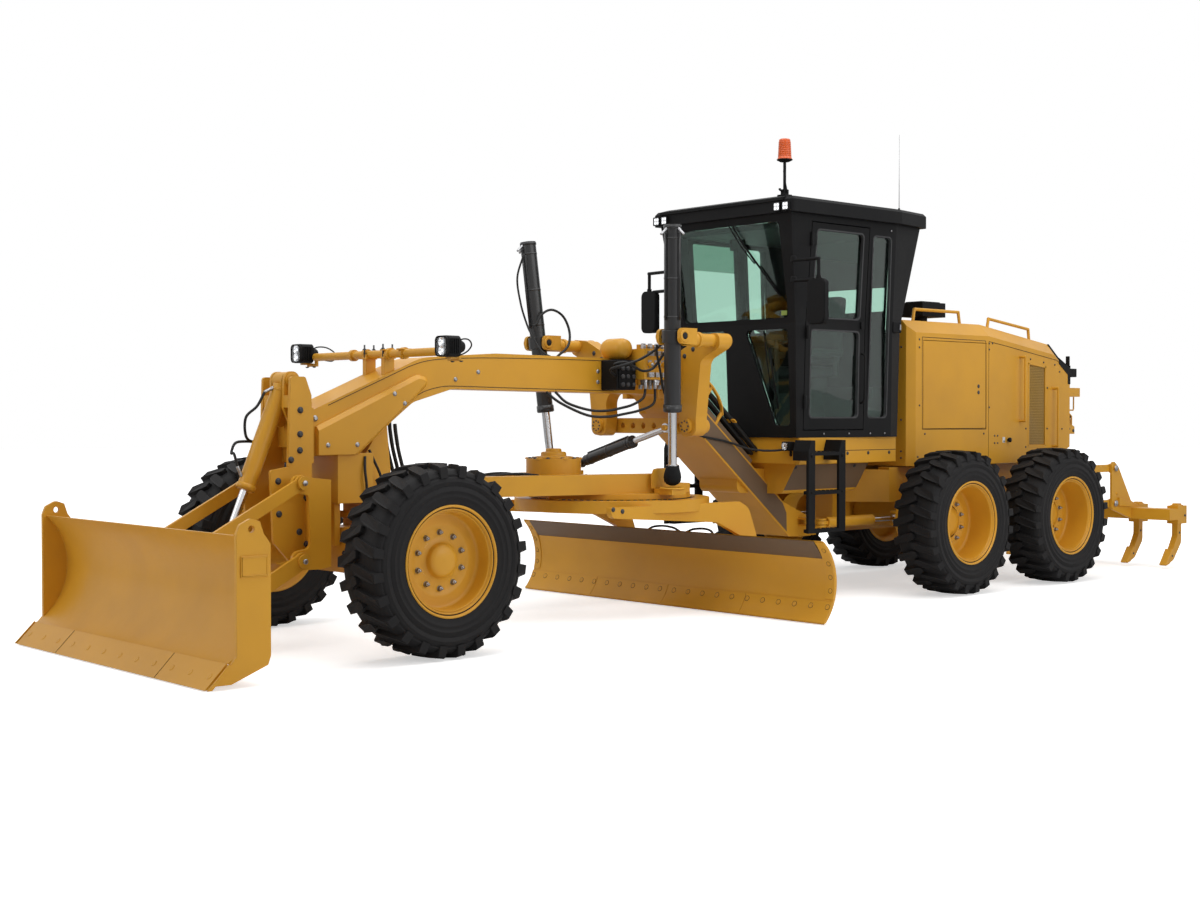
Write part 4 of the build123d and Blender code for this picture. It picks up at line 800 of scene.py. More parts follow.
build.finish("leg_conduits", hoseRubber, "front_frame")
for along in (230, 640):
    c = topOf + slant * along + normal * 64
    turn = Matrix.Rotation(-math.atan2(slant.z, slant.x), 3, "Y")
    for y in (125, -125):
        straps.box((c.x - 20, y - 118, c.z - 5), (c.x + 20, y + 118, c.z + 5), turn, (c.x, y, c.z + 52))
straps.finish("conduit_straps", yellow, "front_frame", 2)
# Guards along the conduits, coloured with painted shade: brown in place of the yellow paint in shadow.
build = Build()
for sign in (1, -1):
    a, b = topOf + slant * 30, topOf + slant * 980
    edge = [at(*(p + Vector((0, 226 * sign, 0)) + normal * h)) for p in (a, b) for h in (-4, 46)]
    inner = [v + Vector((0, -0.012 * sign, 0)) for v in edge]
    build.add(edge + inner, [(0, 2, 3, 1), (4, 5, 7, 6), (0, 4, 6, 2), (1, 3, 7, 5), (0, 1, 5, 4), (2, 6, 7, 3)])
build.finish("conduit_guards", shadeBrown, "front_frame", 3)
# Side plate on the leg and the sloping hull face under the platform, coloured with painted shade: brown in place of
# the yellow paint in shadow.
build = Build()
build.prism([(3010, 1572), (2036, 783), (1990, 700), (1985, 545), (3010, 1374)], "y", 240, 242)
hull = [at(x, 560 - (1130 - z) * 160 / 260 + 0.85 * out, z - 0.52 * out) for out in (0, 2)
        for x, z in ((1302, 1110), (2228, 1110), (2228, 900), (1302, 900))]
build.slab(hull)
build.mirrored().finish("leg_side_panels", shadeBrown, "front_frame", 0.8)
build = Build()
for sign in (1, -1):
    y0, y1 = sorted((214 * sign, 240 * sign))
    arch = [(0, 196), (120, 214), (240, 214), (340, 196), (420, 160), (470, 110)]
    over = [topOf + slant * t + normal * h for t, h in arch]
    under = [topOf + slant * t + normal * (h - 16) for t, h in reversed(arch)]
    build.prism([(p.x, p.z) for p in over + under], "y", y0, y1)
    for t, high in ((235, 200), (455, 118)):
        a, b = topOf + slant * (t - 13), topOf + slant * (t + 13)
        build.prism([(p.x, p.z) for p in (a, b, b + normal * high, a + normal * high)], "y", y0, y1 - 8)
build.finish("conduit_rails", yellow, "front_frame", 2)
hose("leg_cable", [(3300, 250, 1374), (3200, 250, 1382), (3090, 251, 1368), (2990, 252, 1342), (2790, 254, 1312),
                   (2660, 262, 1284),
                   (2510, 300, 1240), (2400, 400, 1225), (2310, 500, 1232)], 9, "front_frame")
print("leg details done")

# Moldboard, circle and drawbar.
boardLook = {
    "edgeTop": 162, "edgeThick": 9, "boltPitch": 152.4, "boltLine": 122, "boltReach": 1650, "crease": 472,
    "endBit": 1600, "half": 1680, "centreX": 3510.6, "centreZ": 309, "radius": 413, "height": 602, "lean": 20,
}


# X of the moldboard's hollow face at a height, and the direction that it faces.
def boardFace(z, proud=0.0):
    look = boardLook
    rise = z - look["centreZ"]
    x = look["centreX"] - math.sqrt(look["radius"] ** 2 - rise ** 2) + rise / look["height"] * look["lean"]
    facing = Vector((look["centreX"] - x, 0, -rise)).normalized()
    return Vector((x, 0, z)) + facing * proud, facing


build = Build()
levels = [12 + (boardLook["edgeTop"] - 12) * k / 8 for k in range(9)]
front = [boardFace(z, boardLook["edgeThick"])[0] for z in levels]
behind = [boardFace(z, -1)[0] for z in reversed(levels)]
for y0, y1 in ((-boardLook["half"], -842), (-838, -2), (2, 838), (842, boardLook["half"])):
    build.prism([(p.x, p.z) for p in front + behind], "y", y0, y1)
build.finish("cutting_edges", yellow, "moldboard", 1.5)
build = Build()
place, facing = boardFace(boardLook["boltLine"], boardLook["edgeThick"])
reach = boardLook["boltReach"]
count = int(2 * reach / boardLook["boltPitch"])
rings = Build()
for i in range(count + 1):
    along = place + Vector((0, -reach + 2 * reach * i / count, 0))
    build.lathe([(19, 0), (18, 2), (12, 3), (9, 1), (0.01, 1)], along, facing, 20)
    rings.lathe([(21.5, 0), (21.5, 1.2), (18.5, 1.2), (18.5, 0)], along, facing, 20)
for z in (540, 440, 340, 240):
    place, facing = boardFace(z, 6)
    for y in (-1645, 1645):
        along = place + Vector((0, y, 0))
        build.lathe([(16, 0), (15, 2), (10, 3), (7, 1), (0.01, 1)], along, facing, 20)
        rings.lathe([(18.5, 0), (18.5, 1.2), (15.5, 1.2), (15.5, 0)], along, facing, 20)
build.finish("edge_bolts", yellow, "moldboard")
rings.finish("edge_bolt_rings", darkGap, "moldboard")
build = Build()
levels = [180 + 420 * k / 12 for k in range(13)]
front = [boardFace(z, 6)[0] for z in levels]
behind = [boardFace(z, -1)[0] for z in reversed(levels)]
for y0, y1 in ((-boardLook["half"], -boardLook["endBit"]), (boardLook["endBit"], boardLook["half"])):
    build.prism([(p.x, p.z) for p in front + behind], "y", y0, y1)
build.finish("end_bits", yellow, "moldboard", 1.5)
# Band over the moldboard's upper curve, coloured with painted shade and reflection: brown in place of the yellow
# paint where it faces up and away.
build = Build()
top = boardFace(606, 4)[0]
crease = boardFace(boardLook["crease"])[0]
mid = (top + crease) / 2
build.prism([(crease.x, crease.z), (top.x + 6, top.z), (top.x - 8, top.z), (mid.x - 18, mid.z)], "y", -1596, 1596)
build.finish("board_shade_band", shadeBrown, "moldboard", 1)

driveLook = {"x": 4330, "bolts": 10, "boltCircle": 178, "lugs": 6, "lugCircle": 190}
build = Build()
for i in range(driveLook["bolts"]):
    a = math.tau * i / driveLook["bolts"]
    x, y = driveLook["x"] + driveLook["boltCircle"] * math.cos(a), driveLook["boltCircle"] * math.sin(a)
    build.bolt((x, y, 1190), (0, 0, 1), 13)
for x, y in ((4140, 250), (4520, 250), (4140, 150), (4520, 130)):
    build.bolt((x, y, 1060), (0, 0, 1), 13)
    build.bolt((x, -y, 1060), (0, 0, 1), 13)
build.finish("drive_bolts", castMetal, "drawbar")
build = Build()
build.lathe([(150, 0), (150, 14), (120, 20), (96, 22), (96, 44), (84, 52), (0.01, 52)],
            (driveLook["x"], 0, 1188), (0, 0, 1), 48)
build.lathe([(60, 0), (60, 66), (52, 74), (0.01, 74)], (driveLook["x"], 0, 1190), (0, 0, 1), 32)
for i in range(driveLook["lugs"]):
    a = math.tau * i / driveLook["lugs"] + 0.26
    build.lathe([(24, 0), (24, 10), (18, 14), (0.01, 14)],
                (driveLook["x"] + driveLook["lugCircle"] * math.cos(a), driveLook["lugCircle"] * math.sin(a), 1184),
                (0, 0, 1), 20)
build.finish("drive_cover", yellow, "drawbar", 1.5)
circleLook = {"x": 3740, "teeth": 72, "root": 622, "tip": 640}
build = Build()
for i in range(circleLook["teeth"]):
    turn = Matrix.Rotation(math.tau * i / circleLook["teeth"], 3, "Z")
    build.box((circleLook["x"] + circleLook["root"], -12, 800), (circleLook["x"] + circleLook["tip"], 12, 872),
              turn, (circleLook["x"], 0, 836))
build.finish("circle_teeth", castMetal, "circle")
build = Build()
for x, y, z in ((4380, 712, 838), (4290, 712, 822)):
    build.bolt((x, y - 2, z), (0, 1, 0), 12)
build.mirrored().finish("circle_arm_bolts", castMetal, "circle")
build = Build()
build.lathe([(56, 0), (60, 4), (60, 16), (30, 18), (30, 24), (0.01, 24)], (2985, 708, 300), (0, 1, 0), 32)
build.mirrored().finish("tip_pivot_caps", steel, "tip_bracket")
build = Build()
for y in (-448, 440):
    build.lathe([(34, 0), (40, 2), (40, 30), (34, 32)], (3025, y - 12, 420), (0, 1, 0), 32)
build.finish("sideshift_glands", black, "tip_bracket")
hose("sideshift_hose_left",
     [(3025, 400, 456), (3020, 392, 520), (2990, 350, 590), (2965, 250, 612), (2960, 120, 604),
                             (2962, 40, 578)], 9, "tip_bracket")
hose("sideshift_hose_right", [(3025, -400, 456), (3020, -392, 520), (2990, -350, 590), (2965, -250, 612),
                              (2960, -120, 604), (2962, -40, 578)], 9, "tip_bracket")
for sign in (1, -1):
    side = "left" if sign > 0 else "right"
    hose(f"drawbar_hose_{side}", [(5360, 30 * sign, 1010), (5250, 42 * sign, 1026), (5100, 60 * sign, 1055),
                                  (4900, 80 * sign, 1082), (4740, 96 * sign, 1086), (4620, 104 * sign, 1075),
                                  (4560, 96 * sign, 1068)], 10, "drawbar")
shiftHigh, shiftLow = Vector((3500, 365, 1415)), Vector((3500, -635, 1128))
shiftAxis = (shiftHigh - shiftLow).normalized()
upward = Vector((0, -shiftAxis.z, shiftAxis.y))
build = Build()
build.rod(shiftLow + shiftAxis * 110 + upward * 52, shiftLow + shiftAxis * 600 + upward * 52, 8, 12)
for step in (120, 350, 585):
    build.lathe([(44.5, 0), (47, 1), (47, 16), (44.5, 17)], shiftLow + shiftAxis * step, shiftAxis, 32)
build.lathe([(44.5, 0), (50, 2), (50, 36), (44.5, 38)], shiftLow + shiftAxis * 612, shiftAxis, 36)
build.finish("centershift_pipe", barrelBlack, "centershift_barrel")
print("blade details done")

# Cab. Its glass leans, so places on it are worked out from the height.
cabLook = {
    "floor": 1330, "lower": 920, "waist": 2250, "upper": 860, "rearPillar": 1180,
    "screenFoot": 2360, "screenLean": 140, "screenStep": 24,
}


# X of the windscreen's outer face at a height.
def screenX(z):
    rise = (z - cabLook["waist"]) * cabLook["screenLean"] / cabLook["upper"]
    return cabLook["screenFoot"] + rise - cabLook["screenStep"]


def onScreen(y, z, proud):
    return (screenX(z) + proud, y, z)


build = Build()
build.tube([at(*onScreen(y, z, p)) for y, z, p in ((60, 3090, 12), (180, 2900, 20), (300, 2740, 22))], 6, 10)
build.tube([at(*onScreen(y, z, p)) for y, z, p in ((20, 3088, 12), (150, 2890, 18), (285, 2735, 20))], 5, 10)
build.tube([at(*onScreen(y, z, 10)) for y, z in ((150, 2930), (330, 2700), (516, 2464))], 8, 10)
build.lathe([(22, 0), (22, 16), (14, 22), (0.01, 22)], onScreen(45, 3085, 2), (1, 0, 0), 24)
build.finish("wiper", black, "front_frame")
build = Build()
build.tube([at(2338, y, z) for y, z in ((300, 2195), (330, 1980), (372, 1750))], 5, 10)
build.tube([at(2330, y, z) for y, z in ((352, 2060), (400, 1800), (450, 1560))], 7, 10)
build.mirrored().finish("lower_wipers", black, "front_frame")

frames, lenses, lights = Build(), Build(), Build()
for y in (632.5, 722.5):
    outer = roundedRect(y - 36, 3116, y + 36, 3189, 8)
    inner = roundedRect(y - 29, 3123, y + 29, 3182, 6)
    frames.skin([[at(x, a, b) for a, b in loop] for x, loop in
                 ((2556, outer), (2566, outer), (2566, inner), (2556, inner))], closed=True)
    lenses.prism(inner, "x", 2560.5, 2563)
    for dy in (-14, 14):
        for dz in (-14, 14):
            lights.lathe([(11, 0), (8, 2), (0.01, 2)], (2563, y + dy, 3152 + dz), (1, 0, 0), 16)
frames.mirrored().finish("roof_lamp_frames", black, "front_frame")
lenses.mirrored().finish("roof_lamp_lenses", chrome, "front_frame")
lights.mirrored().finish("roof_lamp_lights", ledGlow, "front_frame")
build = Build()
build.box((694, 606, 3126), (699.5, 659, 3179))
build.mirrored().finish("rear_roof_lenses", lampGlass, "front_frame", 1)
build = Build()
build.prism([(2440, 3238), (2538, 3214), (2538, 3200), (2555, 3200), (2555, 3225), (2450, 3252)], "y", -690, 690)
for x, y, r in ((2100, 300, 70), (1500, 560, 45), (1250, -200, 90), (1150, 580, 40)):
    build.lathe([(r, 0), (r * 0.9, 14), (r * 0.6, 20), (0.01, 20)], (x, y, 3232), (0, 0, 1), 24)
build.finish("roof_trim", black, "front_frame", 2)

build = Build()
build.prism(roundedRect(860, 2230, 1020, 2570, 44), "x", 2396, 2399.5)
build.mirrored().finish("mirror_glasses", mirrorFace, "front_frame")
build = Build()
build.prism(roundedRect(856, 2226, 1024, 2574, 48), "x", 2443, 2452)
for z in (2572, 2733):
    build.lathe([(22, 0), (22, 40), (16, 46), (0.01, 46)], (2446, 708, z - 10), (0, 0.1, 1), 20)
build.lathe([(20, -25), (20, 25)], (2425, 950, 2575), (0, 0, 1), 20)
build.mirrored().finish("mirror_backs", black, "front_frame", 3)

beaconLook = {"x": 2440, "y": 610, "foot": 3536, "ribs": 9, "ribPitch": 14.5}
beaconPlace = (beaconLook["x"], beaconLook["y"], beaconLook["foot"])
dome = Build()
profile = [(58, 0), (58, 10)]
for i in range(beaconLook["ribs"]):
    z = 12 + i * beaconLook["ribPitch"]
    r = 54 - i * 0.7
    profile += [(r, z), (r, z + 11), (r - 2.2, z + 12.5), (r - 2.2, z + 13.5)]
profile += [(46, 146), (44, 158), (34, 163), (0.01, 164)]
dome.lathe(profile, beaconPlace, (0, 0, 1), 48)
dome = dome.finish("beacon_dome", amber, "front_frame")
build = Build()
build.lathe([(0.01, -18), (36, -18), (64, -4), (64, 0), (60, 3), (0.01, 3)], beaconPlace, (0, 0, 1), 40)
build.rod((2440, 610, 3268), (2440, 610, 3520), 12, 20)
build.tube([at(2452, 622, 3520), at(2462, 618, 3440), at(2450, 628, 3350), at(2440, 640, 3270)], 5, 8)
build.box((2398, 568, 3234), (2482, 652, 3258))
build.box((2412, 592, 3255), (2468, 630, 3300))
build.rod((2500, 612, 3290), (2425, 612, 3290), 8, 12)
build.rod((2500, 612, 3290), (2500, 612, 3304), 10, 12)
build.finish("beacon_stand", black, "front_frame", 2)
build = Build()
build.rod((960, 600, 3240), (960, 600, 3900), 3, 10, far=1.6)
build.finish("aerial", steel, "front_frame")
build = Build()
build.lathe([(16, 0), (16, 10), (9, 18), (8, 44), (0.01, 44)], (960, 600, 3234), (0, 0, 1), 20)
build.finish("aerial_foot", black, "front_frame")
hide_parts("beacon")

build = Build()
build.box((1068, 684, 2206), (1176, 712, 2298))
build.mirrored().finish("latch_boxes", black, "front_frame", 6)
build = Build()
build.box((1082, 711, 2228), (1098, 722, 2276))
build.mirrored().finish("latch_strikers", steel, "front_frame", 2)


# Y of the cab's side at a place in front of its corner pillar.
def sideY(x, z, proud=0.0):
    if z < cabLook["waist"]:
        t = (z - cabLook["floor"]) / cabLook["lower"]
        front, pillar, far = 630 + 25 * t, 690 + 13 * t, 2315 + 45 * t
    else:
        t = (z - cabLook["waist"]) / cabLook["upper"]
        front, pillar, far = 655 + 75 * t, 703 + 42 * t, 2360 + 140 * t
    return pillar + (front - pillar) * (x - cabLook["rearPillar"]) / (far - cabLook["rearPillar"]) + proud


# Rubber lip round one pane of the cab's side.
def paneSeal(build, sign, place, width):
    x0, z0, x1, z1 = place
    outer = roundedRect(x0, z0, x1, z1, 40)
    inner = roundedRect(x0 + width, z0 + width, x1 - width, z1 - width, 32)
    build.skin([[at(x, sign * sideY(x, z, p), z) for x, z in loop] for loop, p in
                ((outer, -3), (outer, 2), (inner, 2), (inner, -24))])


for sign, side in ((1, "left"), (-1, "right")):
    build = Build()
    for z in (1560, 2120, 2860):
        a = at(2240, 637 + (z - 1330) / 1780 * 99, z)
        b = at(2240, 637 + (z + 110 - 1330) / 1780 * 99, z + 110)
        pts = [Vector((p.x, p.y * sign, p.z)) for p in (a, b)]
        build.tube([pts[0], (pts[0] + pts[1]) / 2, pts[1]], 13, 16)
        build.prism([(2175, z + 10), (2240, z + 10), (2240, z + 100), (2175, z + 100)], "y",
                    sign * sideY(2200, z + 50, -4), sign * sideY(2200, z + 50, 5))
    build.prism(roundedRect(1548, 2222, 1590, 2282, 10), "y", sign * sideY(1570, 2250, 1),
                sign * sideY(1570, 2250, 16))
    build.tube([at(1562, sign * sideY(1562, z, p), z) for z, p in
                ((2020, 0), (2010, 26), (1990, 38), (1800, 38), (1640, 38), (1620, 26), (1610, 0))], 9, 12)
    build.finish(f"door_fittings_{side}", black, f"cab_door_{side}", 2)
    build = Build()
    for z0, z1 in ((2290, 3005), (1485, 2205)):
        paneSeal(build, sign, (1590, z0, 2180, z1), 12)
    build.finish(f"door_seals_{side}", plastic, f"cab_door_{side}")
build = Build()
for sign in (1, -1):
    paneSeal(build, sign, (1235, 1485, 1480, 3000), 10)
build.finish("quarter_seals", plastic, "front_frame")
build = Build()
for x in (1260, 1440, 1700, 2000):
    build.bolt((x, sideY(x, 1360), 1360), (0, 1, 0), 8, False)
build.bolt((1250, sideY(1250, 3050), 3050), (0, 1, 0), 8, False)
build.mirrored().finish("cab_bolts", steel, "front_frame")
print("cab details done")

# Inside the cab.
seatLook = {"gridLevels": 5, "bulge": 6, "lean": -9.5, "groovePlace": 0.62, "grooveWidth": 0.035,
            "grooveDepth": 0.006}


# Crowned closed form: a rounded block whose faces swell and whose sides draw in between corners.
def softBlock(name, low, high, tilt, body, bulge):
    x0, y0, z0 = at(*low)
    x1, y1, z1 = at(*high)
    centre = Vector(((x0 + x1) / 2, (y0 + y1) / 2, (z0 + z1) / 2))
    half = Vector(((x1 - x0) / 2, (y1 - y0) / 2, (z1 - z0) / 2))
    bpy.ops.mesh.primitive_cube_add(size=2, location=(0, 0, 0))
    obj = bpy.context.object
    obj.name = name
    cut = obj.modifiers.new("grid", "SUBSURF")
    cut.subdivision_type, cut.levels, cut.render_levels = "SIMPLE", seatLook["gridLevels"], seatLook["gridLevels"]
    bpy.context.view_layer.objects.active = obj
    bpy.ops.object.modifier_apply(modifier="grid")
    thin = min(range(3), key=lambda k: half[k])
    for vert in obj.data.vertices:
        p = vert.co.copy()
        wide = [k for k in range(3) if k != thin]
        roundOff = 1 - 0.055 * abs(p[wide[0]]) ** 6 * abs(p[wide[1]]) ** 6
        crown = max(0.0, 1 - p[wide[0]] ** 4) * max(0.0, 1 - p[wide[1]] ** 4)
        q = [p[0] * half.x, p[1] * half.y, p[2] * half.z]
        for k in wide:
            other = wide[1] if k == wide[0] else wide[0]
            q[k] *= roundOff * (1 - 0.02 * (1 - p[other] ** 2))
            q[k] *= 1 - 0.05 * abs(p[thin]) ** 4
        q[thin] *= 0.78 + 0.22 * crown ** 0.5
        q[thin] += math.copysign(bulge / 1000 * crown, p[thin]) if abs(p[thin]) > 0.5 else 0
        groove = math.exp(-((abs(p[wide[1]]) - seatLook["groovePlace"]) / seatLook["grooveWidth"]) ** 2)
        q[thin] -= math.copysign(seatLook["grooveDepth"] * groove, p[thin]) if abs(p[thin]) > 0.9 else 0
        vert.co = tilt @ Vector(q) + centre
    for poly in obj.data.polygons:
        poly.use_smooth = True
    obj.data.materials.clear()
    obj.data.materials.append(cloth)
    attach(obj, body)
    return obj


lean = Matrix.Rotation(math.radians(seatLook["lean"]), 3, "Y")
level = Matrix.Identity(3)
cushion = softBlock("seat_cushion", (1340, -250, 1836), (1822, 250, 1924), level, "front_frame", seatLook["bulge"])
softBlock("seat_back", (1228, -232, 1945), (1320, 232, 2540), lean, "front_frame", seatLook["bulge"])
build = Build()
build.prism([(1420, 1382), (1740, 1382), (1700, 1500), (1660, 1700), (1760, 1825), (1400, 1825), (1480, 1700),
             (1450, 1500)], "y", -190, 190)
build.box((1230, -30, 1700), (1400, 30, 1830))
for sign in (1, -1):
    y = 320 * sign
    build.box((1420, y - 50, 2010), (1830, y + 50, 2065))
    build.rod((1460, y, 1840), (1480, y, 2015), 24, 16)
    build.rod((1790, y, 2060), (1800, y, 2170), 9, 12)
    build.lathe([(20, 0), (26, 14), (27, 60), (18, 84), (0.01, 88)], (1800, y, 2160), (0.06, 0, 1), 20)
build.finish("seat_base", plastic, "front_frame", 6)
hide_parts("seat")
build = Build()
build.box((2010, -170, 2090), (2150, 170, 2150), Matrix.Rotation(math.radians(-18), 3, "Y"))
build.box((2255, 280, 2120), (2290, 480, 2250))
build.rod((2270, 380, 1420), (2272, 380, 2120), 16, 12)
for y in (-60, 60):
    build.prism([(2110, 1400), (2250, 1440), (2250, 1452), (2110, 1412)], "y", y + 90, y + 150)
build.box((1060, -540, 1380), (1240, 540, 1750))
build.box((1240, 380, 1380), (1560, 560, 1640))
build.box((1240, -560, 1380), (1560, -380, 1640))
build.finish("cab_inside", plastic, "front_frame", 5)
build = Build()
build.box((1052, -572, 2600), (1064, 572, 3050))
build.box((1060, -640, 3020), (2330, 640, 3060))
build.finish("headliner", plastic, "front_frame", 5)
for sign, side in ((1, "left"), (-1, "right")):
    build = Build()
    band = [at(x, sign * sideY(x, z, drop), z) for drop in (-26, -29)
            for x, z in ((1575, 2762), (2195, 2762), (2195, 3020), (1575, 3020))]
    build.slab(band)
    build.finish(f"sun_band_{side}", shadeGlass, f"cab_door_{side}")
build = Build()
build.box((screenX(2330) + 1, 500, 2312), (screenX(2330) + 3, 560, 2350))
build.finish("screen_label", greenMark, "front_frame")
build = Build()
build.box((2251, 290, 2130), (2254, 470, 2240))
build.finish("display_face", darkGap, "front_frame")
build = Build()
build.box((2330, -70, 2870), (2345, 90, 2960))
build.rod((2340, 10, 2960), (2400, 10, 3050), 6, 10)
build.finish("inside_mirror", black, "front_frame", 3)
print("cab interior done")

# Engine hood.
hoodLook = {"side": 610, "meshPitch": 15, "slats": 26, "slatPitch": 24}
hoodSide = hoodLook["side"]
hoodDots = [(683, 2168), (682, 2099), (-355, 2163), (-409, 2165), (-356, 2108), (679, 1596), (-360, 1583),
            (600, 1348), (-278, 1345), (-950, 1816), (-950, 1387), (-950, 1215), (-1305, 1770), (-1305, 1385),
            (-1240, 2010), (-1020, 2035), (-1431, 1990), (-1513, 1926), (-1560, 1381), (-447, 1324), (-495, 1324),
            (-447, 1257), (-495, 1257), (700, 1150), (-900, 1120)]
build = Build()
for x, z in hoodDots:
    build.lathe([(9, 0), (9, 3), (6, 6), (0.01, 6)], (x, hoodSide, z), (0, 1, 0), 12)
build.mirrored().finish("hood_bolts", castMetal, "rear_module")
build = Build()
for y in (500, -500):
    for z in (2102, 1471, 1198, 1141):
        build.lathe([(9, 0), (9, 3), (6, 6), (0.01, 6)], (790, y, z), (1, 0, 0), 12)
build.finish("hood_front_bolts", castMetal, "rear_module")
build = Build()
line = [(-352, 2180), (-600, 2150), (-1465, 2035), (-1690, 1905)]
build.tube([at(x, hoodSide + 0.4, z) for x, z in line], 2.6, 8)
# The full-height line at x -352 follows a fold where the hood tapers rather than a seam: painted shade along the
# crease.
build.tube([at(-352, hoodSide + 0.4, z) for z in (2180, 1080)], 1.6, 8)
door = ((642, 2190), (-303, 2184), (-309, 1385), (636, 1390))
for (x0, z0), (x1, z1) in zip(door, door[1:] + door[:1]):
    build.tube([at(x0, hoodSide + 0.2, z0), at(x1, hoodSide + 0.2, z1)], 2.4, 8)
build.mirrored().finish("hood_seams_and_fold_shade", darkGap, "rear_module")
# Sheet behind the grille mesh, coloured with painted shade for the dark recess.
build = Build()
build.box((-1262, 599, 1238), (-1008, 601, 1958))
build.mirrored().finish("grille_shade_backs", grilleShade, "rear_module")
build = Build()
pitch = hoodLook["meshPitch"]
for i in range(int(254 / pitch) + 1):
    x = -1262 + i * pitch
    build.box((x, 601, 1238), (x + 5, 604, 1960 + (x + 1262) * 0.1))
for i in range(int(722 / pitch) + 1):
    z = 1238 + i * pitch
    build.box((-1262, 602, z), (-1008, 605, z + 5))
build.mirrored().finish("grille_wires", grille, "rear_module")
build = Build()
for x0, x1, z0, z1 in ((-1284, -1266, 1222, 1975), (-1004, -986, 1222, 2000), (-1284, -986, 1212, 1230)):
    build.box((x0, 608, z0), (x1, 613, z1))
build.prism([(-1284, 1956), (-986, 1988), (-986, 2006), (-1284, 1974)], "y", 608, 613)
build.mirrored().finish("grille_frames", yellow, "rear_module", 1.5)
for sign, side in ((1, "left"), (-1, "right")):
    build = Build()
    for z in (1717, 1772):
        build.lathe([(17, 0), (17, 3), (13, 4), (0.01, 4)], (-194, hoodSide * sign, z), (0, sign, 0), 20)
    build.finish(f"door_latch_{side}", castMetal, f"engine_door_{side}", 1)
build = Build()
build.box((-612, hoodSide, 1260), (-574, hoodSide + 2.5, 1310))
build.mirrored().finish("blank_tags", whiteMark, "rear_module")
build = Build()
build.lathe([(8, 0), (8, 14), (22, 16), (22, 30), (16, 34), (0.01, 34)], (-658, hoodSide, 1284), (0, 1, 0), 20)
build.lathe([(7, 0), (7, 4), (0.01, 4)], (-593, 612, 1272), (0, 1, 0), 12)
build.mirrored().finish("drain_knobs", black, "rear_module")
build = Build()
build.box((-16, 124, 2394), (326, 376, 2522))
build.box((20, 160, 2520), (290, 340, 2532))
build.lathe([(66, -6), (66, 20), (62, 24), (62, 70)], (190, 250, 2332), (0, 0, 1), 36)
build.finish("precleaner_cover", black, "rear_module", 14)
build = Build()
build.lathe([(60, 0), (66, 4), (66, 20), (58, 24), (0.01, 24)], (-240, -260, 2338), (0, 0, 1), 32)
build.lathe([(52, 0), (52, 26), (44, 32), (0.01, 32)], (-460, 60, 2320), (0, 0, 1), 28)
for x in (-340, -380, -420):
    build.lathe([(12, 0), (12, 10), (0.01, 10)], (x, 300, 2332), (0, 0, 1), 12)
build.finish("hood_caps", black, "rear_module")
build = Build()
build.lathe([(50, 0), (50, 150), (46, 160)], (-80, -250, 2335), (0, 0, 1), 32)
build.lathe([(44, 160), (44, 20), (0.01, 20)], (-80, -250, 2335), (0, 0, 1), 32)
build.lathe([(66, 0), (66, 8), (52, 12)], (-80, -250, 2337), (0, 0, 1), 32)
build.finish("exhaust_stack", castMetal, "rear_module")

# Rear end: surround, radiator slats, lamps and brackets.
build = Build()
build.prism([(-1468, 2192), (-1690, 2032), (-1700, 2024), (-1700, 1330), (-1694, 1330), (-1694, 2018),
             (-1464, 2184)], "y", -492, 492)
cheek = [(-1500, 2060), (-1650, 1990), (-1702, 1960), (-1702, 1810), (-1658, 1810), (-1655, 1900), (-1500, 2000)]
brow = [(-1468, 2192), (-1700, 2024), (-1702, 1965), (-1650, 1992), (-1500, 2062), (-1462, 2110)]
for outline, inner, outer in ((cheek, 607, 613), (brow, 490, 520)):
    build.prism(outline, "y", inner, outer)
    build.prism(outline, "y", -outer, -inner)
build.box((-1703, 480, 1810), (-1694, 612, 1990))
build.box((-1703, -612, 1810), (-1694, -480, 1990))
build.finish("rear_surround", black, "rear_module", 2)
build = Build()
for i in range(hoodLook["slats"]):
    z = 1350 + i * hoodLook["slatPitch"]
    build.prism([(-1700, z), (-1716, z - 8), (-1718, z - 6), (-1702, z + 4)], "y", -480, 480)
for y in (-480, -160, 160, 480):
    build.box((-1719, y - 6, 1335), (-1699, y + 6, 1975))
build.finish("radiator_slats", black, "rear_module")
build = Build()
build.box((-1850, 505, 1880), (-1730, 590, 1962))
build.box((-1735, 530, 1900), (-1695, 565, 1945))
build.box((-1712, 560, 1990), (-1695, 600, 2080))
build.mirrored().finish("rear_lamps", black, "rear_module", 6)
build = Build()
build.box((-1853, 515, 1890), (-1849, 580, 1952))
build.mirrored().finish("rear_lamp_lenses", lampGlass, "rear_module", 1)
build = Build()
build.box((-1890, 505, 1690), (-1700, 600, 1775))
build.prism([(-1695, 1560), (-1740, 1560), (-1790, 1420), (-1838, 1400), (-1838, 1330), (-1720, 1330),
             (-1695, 1400)], "y", 545, 575)
build.tube([at(x, 560, z) for x, z in ((-1700, 1560), (-1836, 1560), (-1842, 1575), (-1842, 1690))], 7, 10)
build.tube([at(x, 590, z) for x, z in ((-1700, 1540), (-1760, 1500), (-1760, 1420))], 7, 10)
build.mirrored().finish("rear_brackets", yellow, "rear_module", 4)
build = Build()
build.box((-1893, 520, 1700), (-1889, 590, 1765))
build.mirrored().finish("tail_lenses", redLens, "rear_module", 1)
build = Build()
for x, y, z in ((-1765, 575, 1500), (-1815, 575, 1362), (-1740, 575, 1380)):
    build.bolt((x, y, z), (0, 1, 0), 11)
build.mirrored().finish("bracket_bolts", castMetal, "rear_module")
print("hood details done")

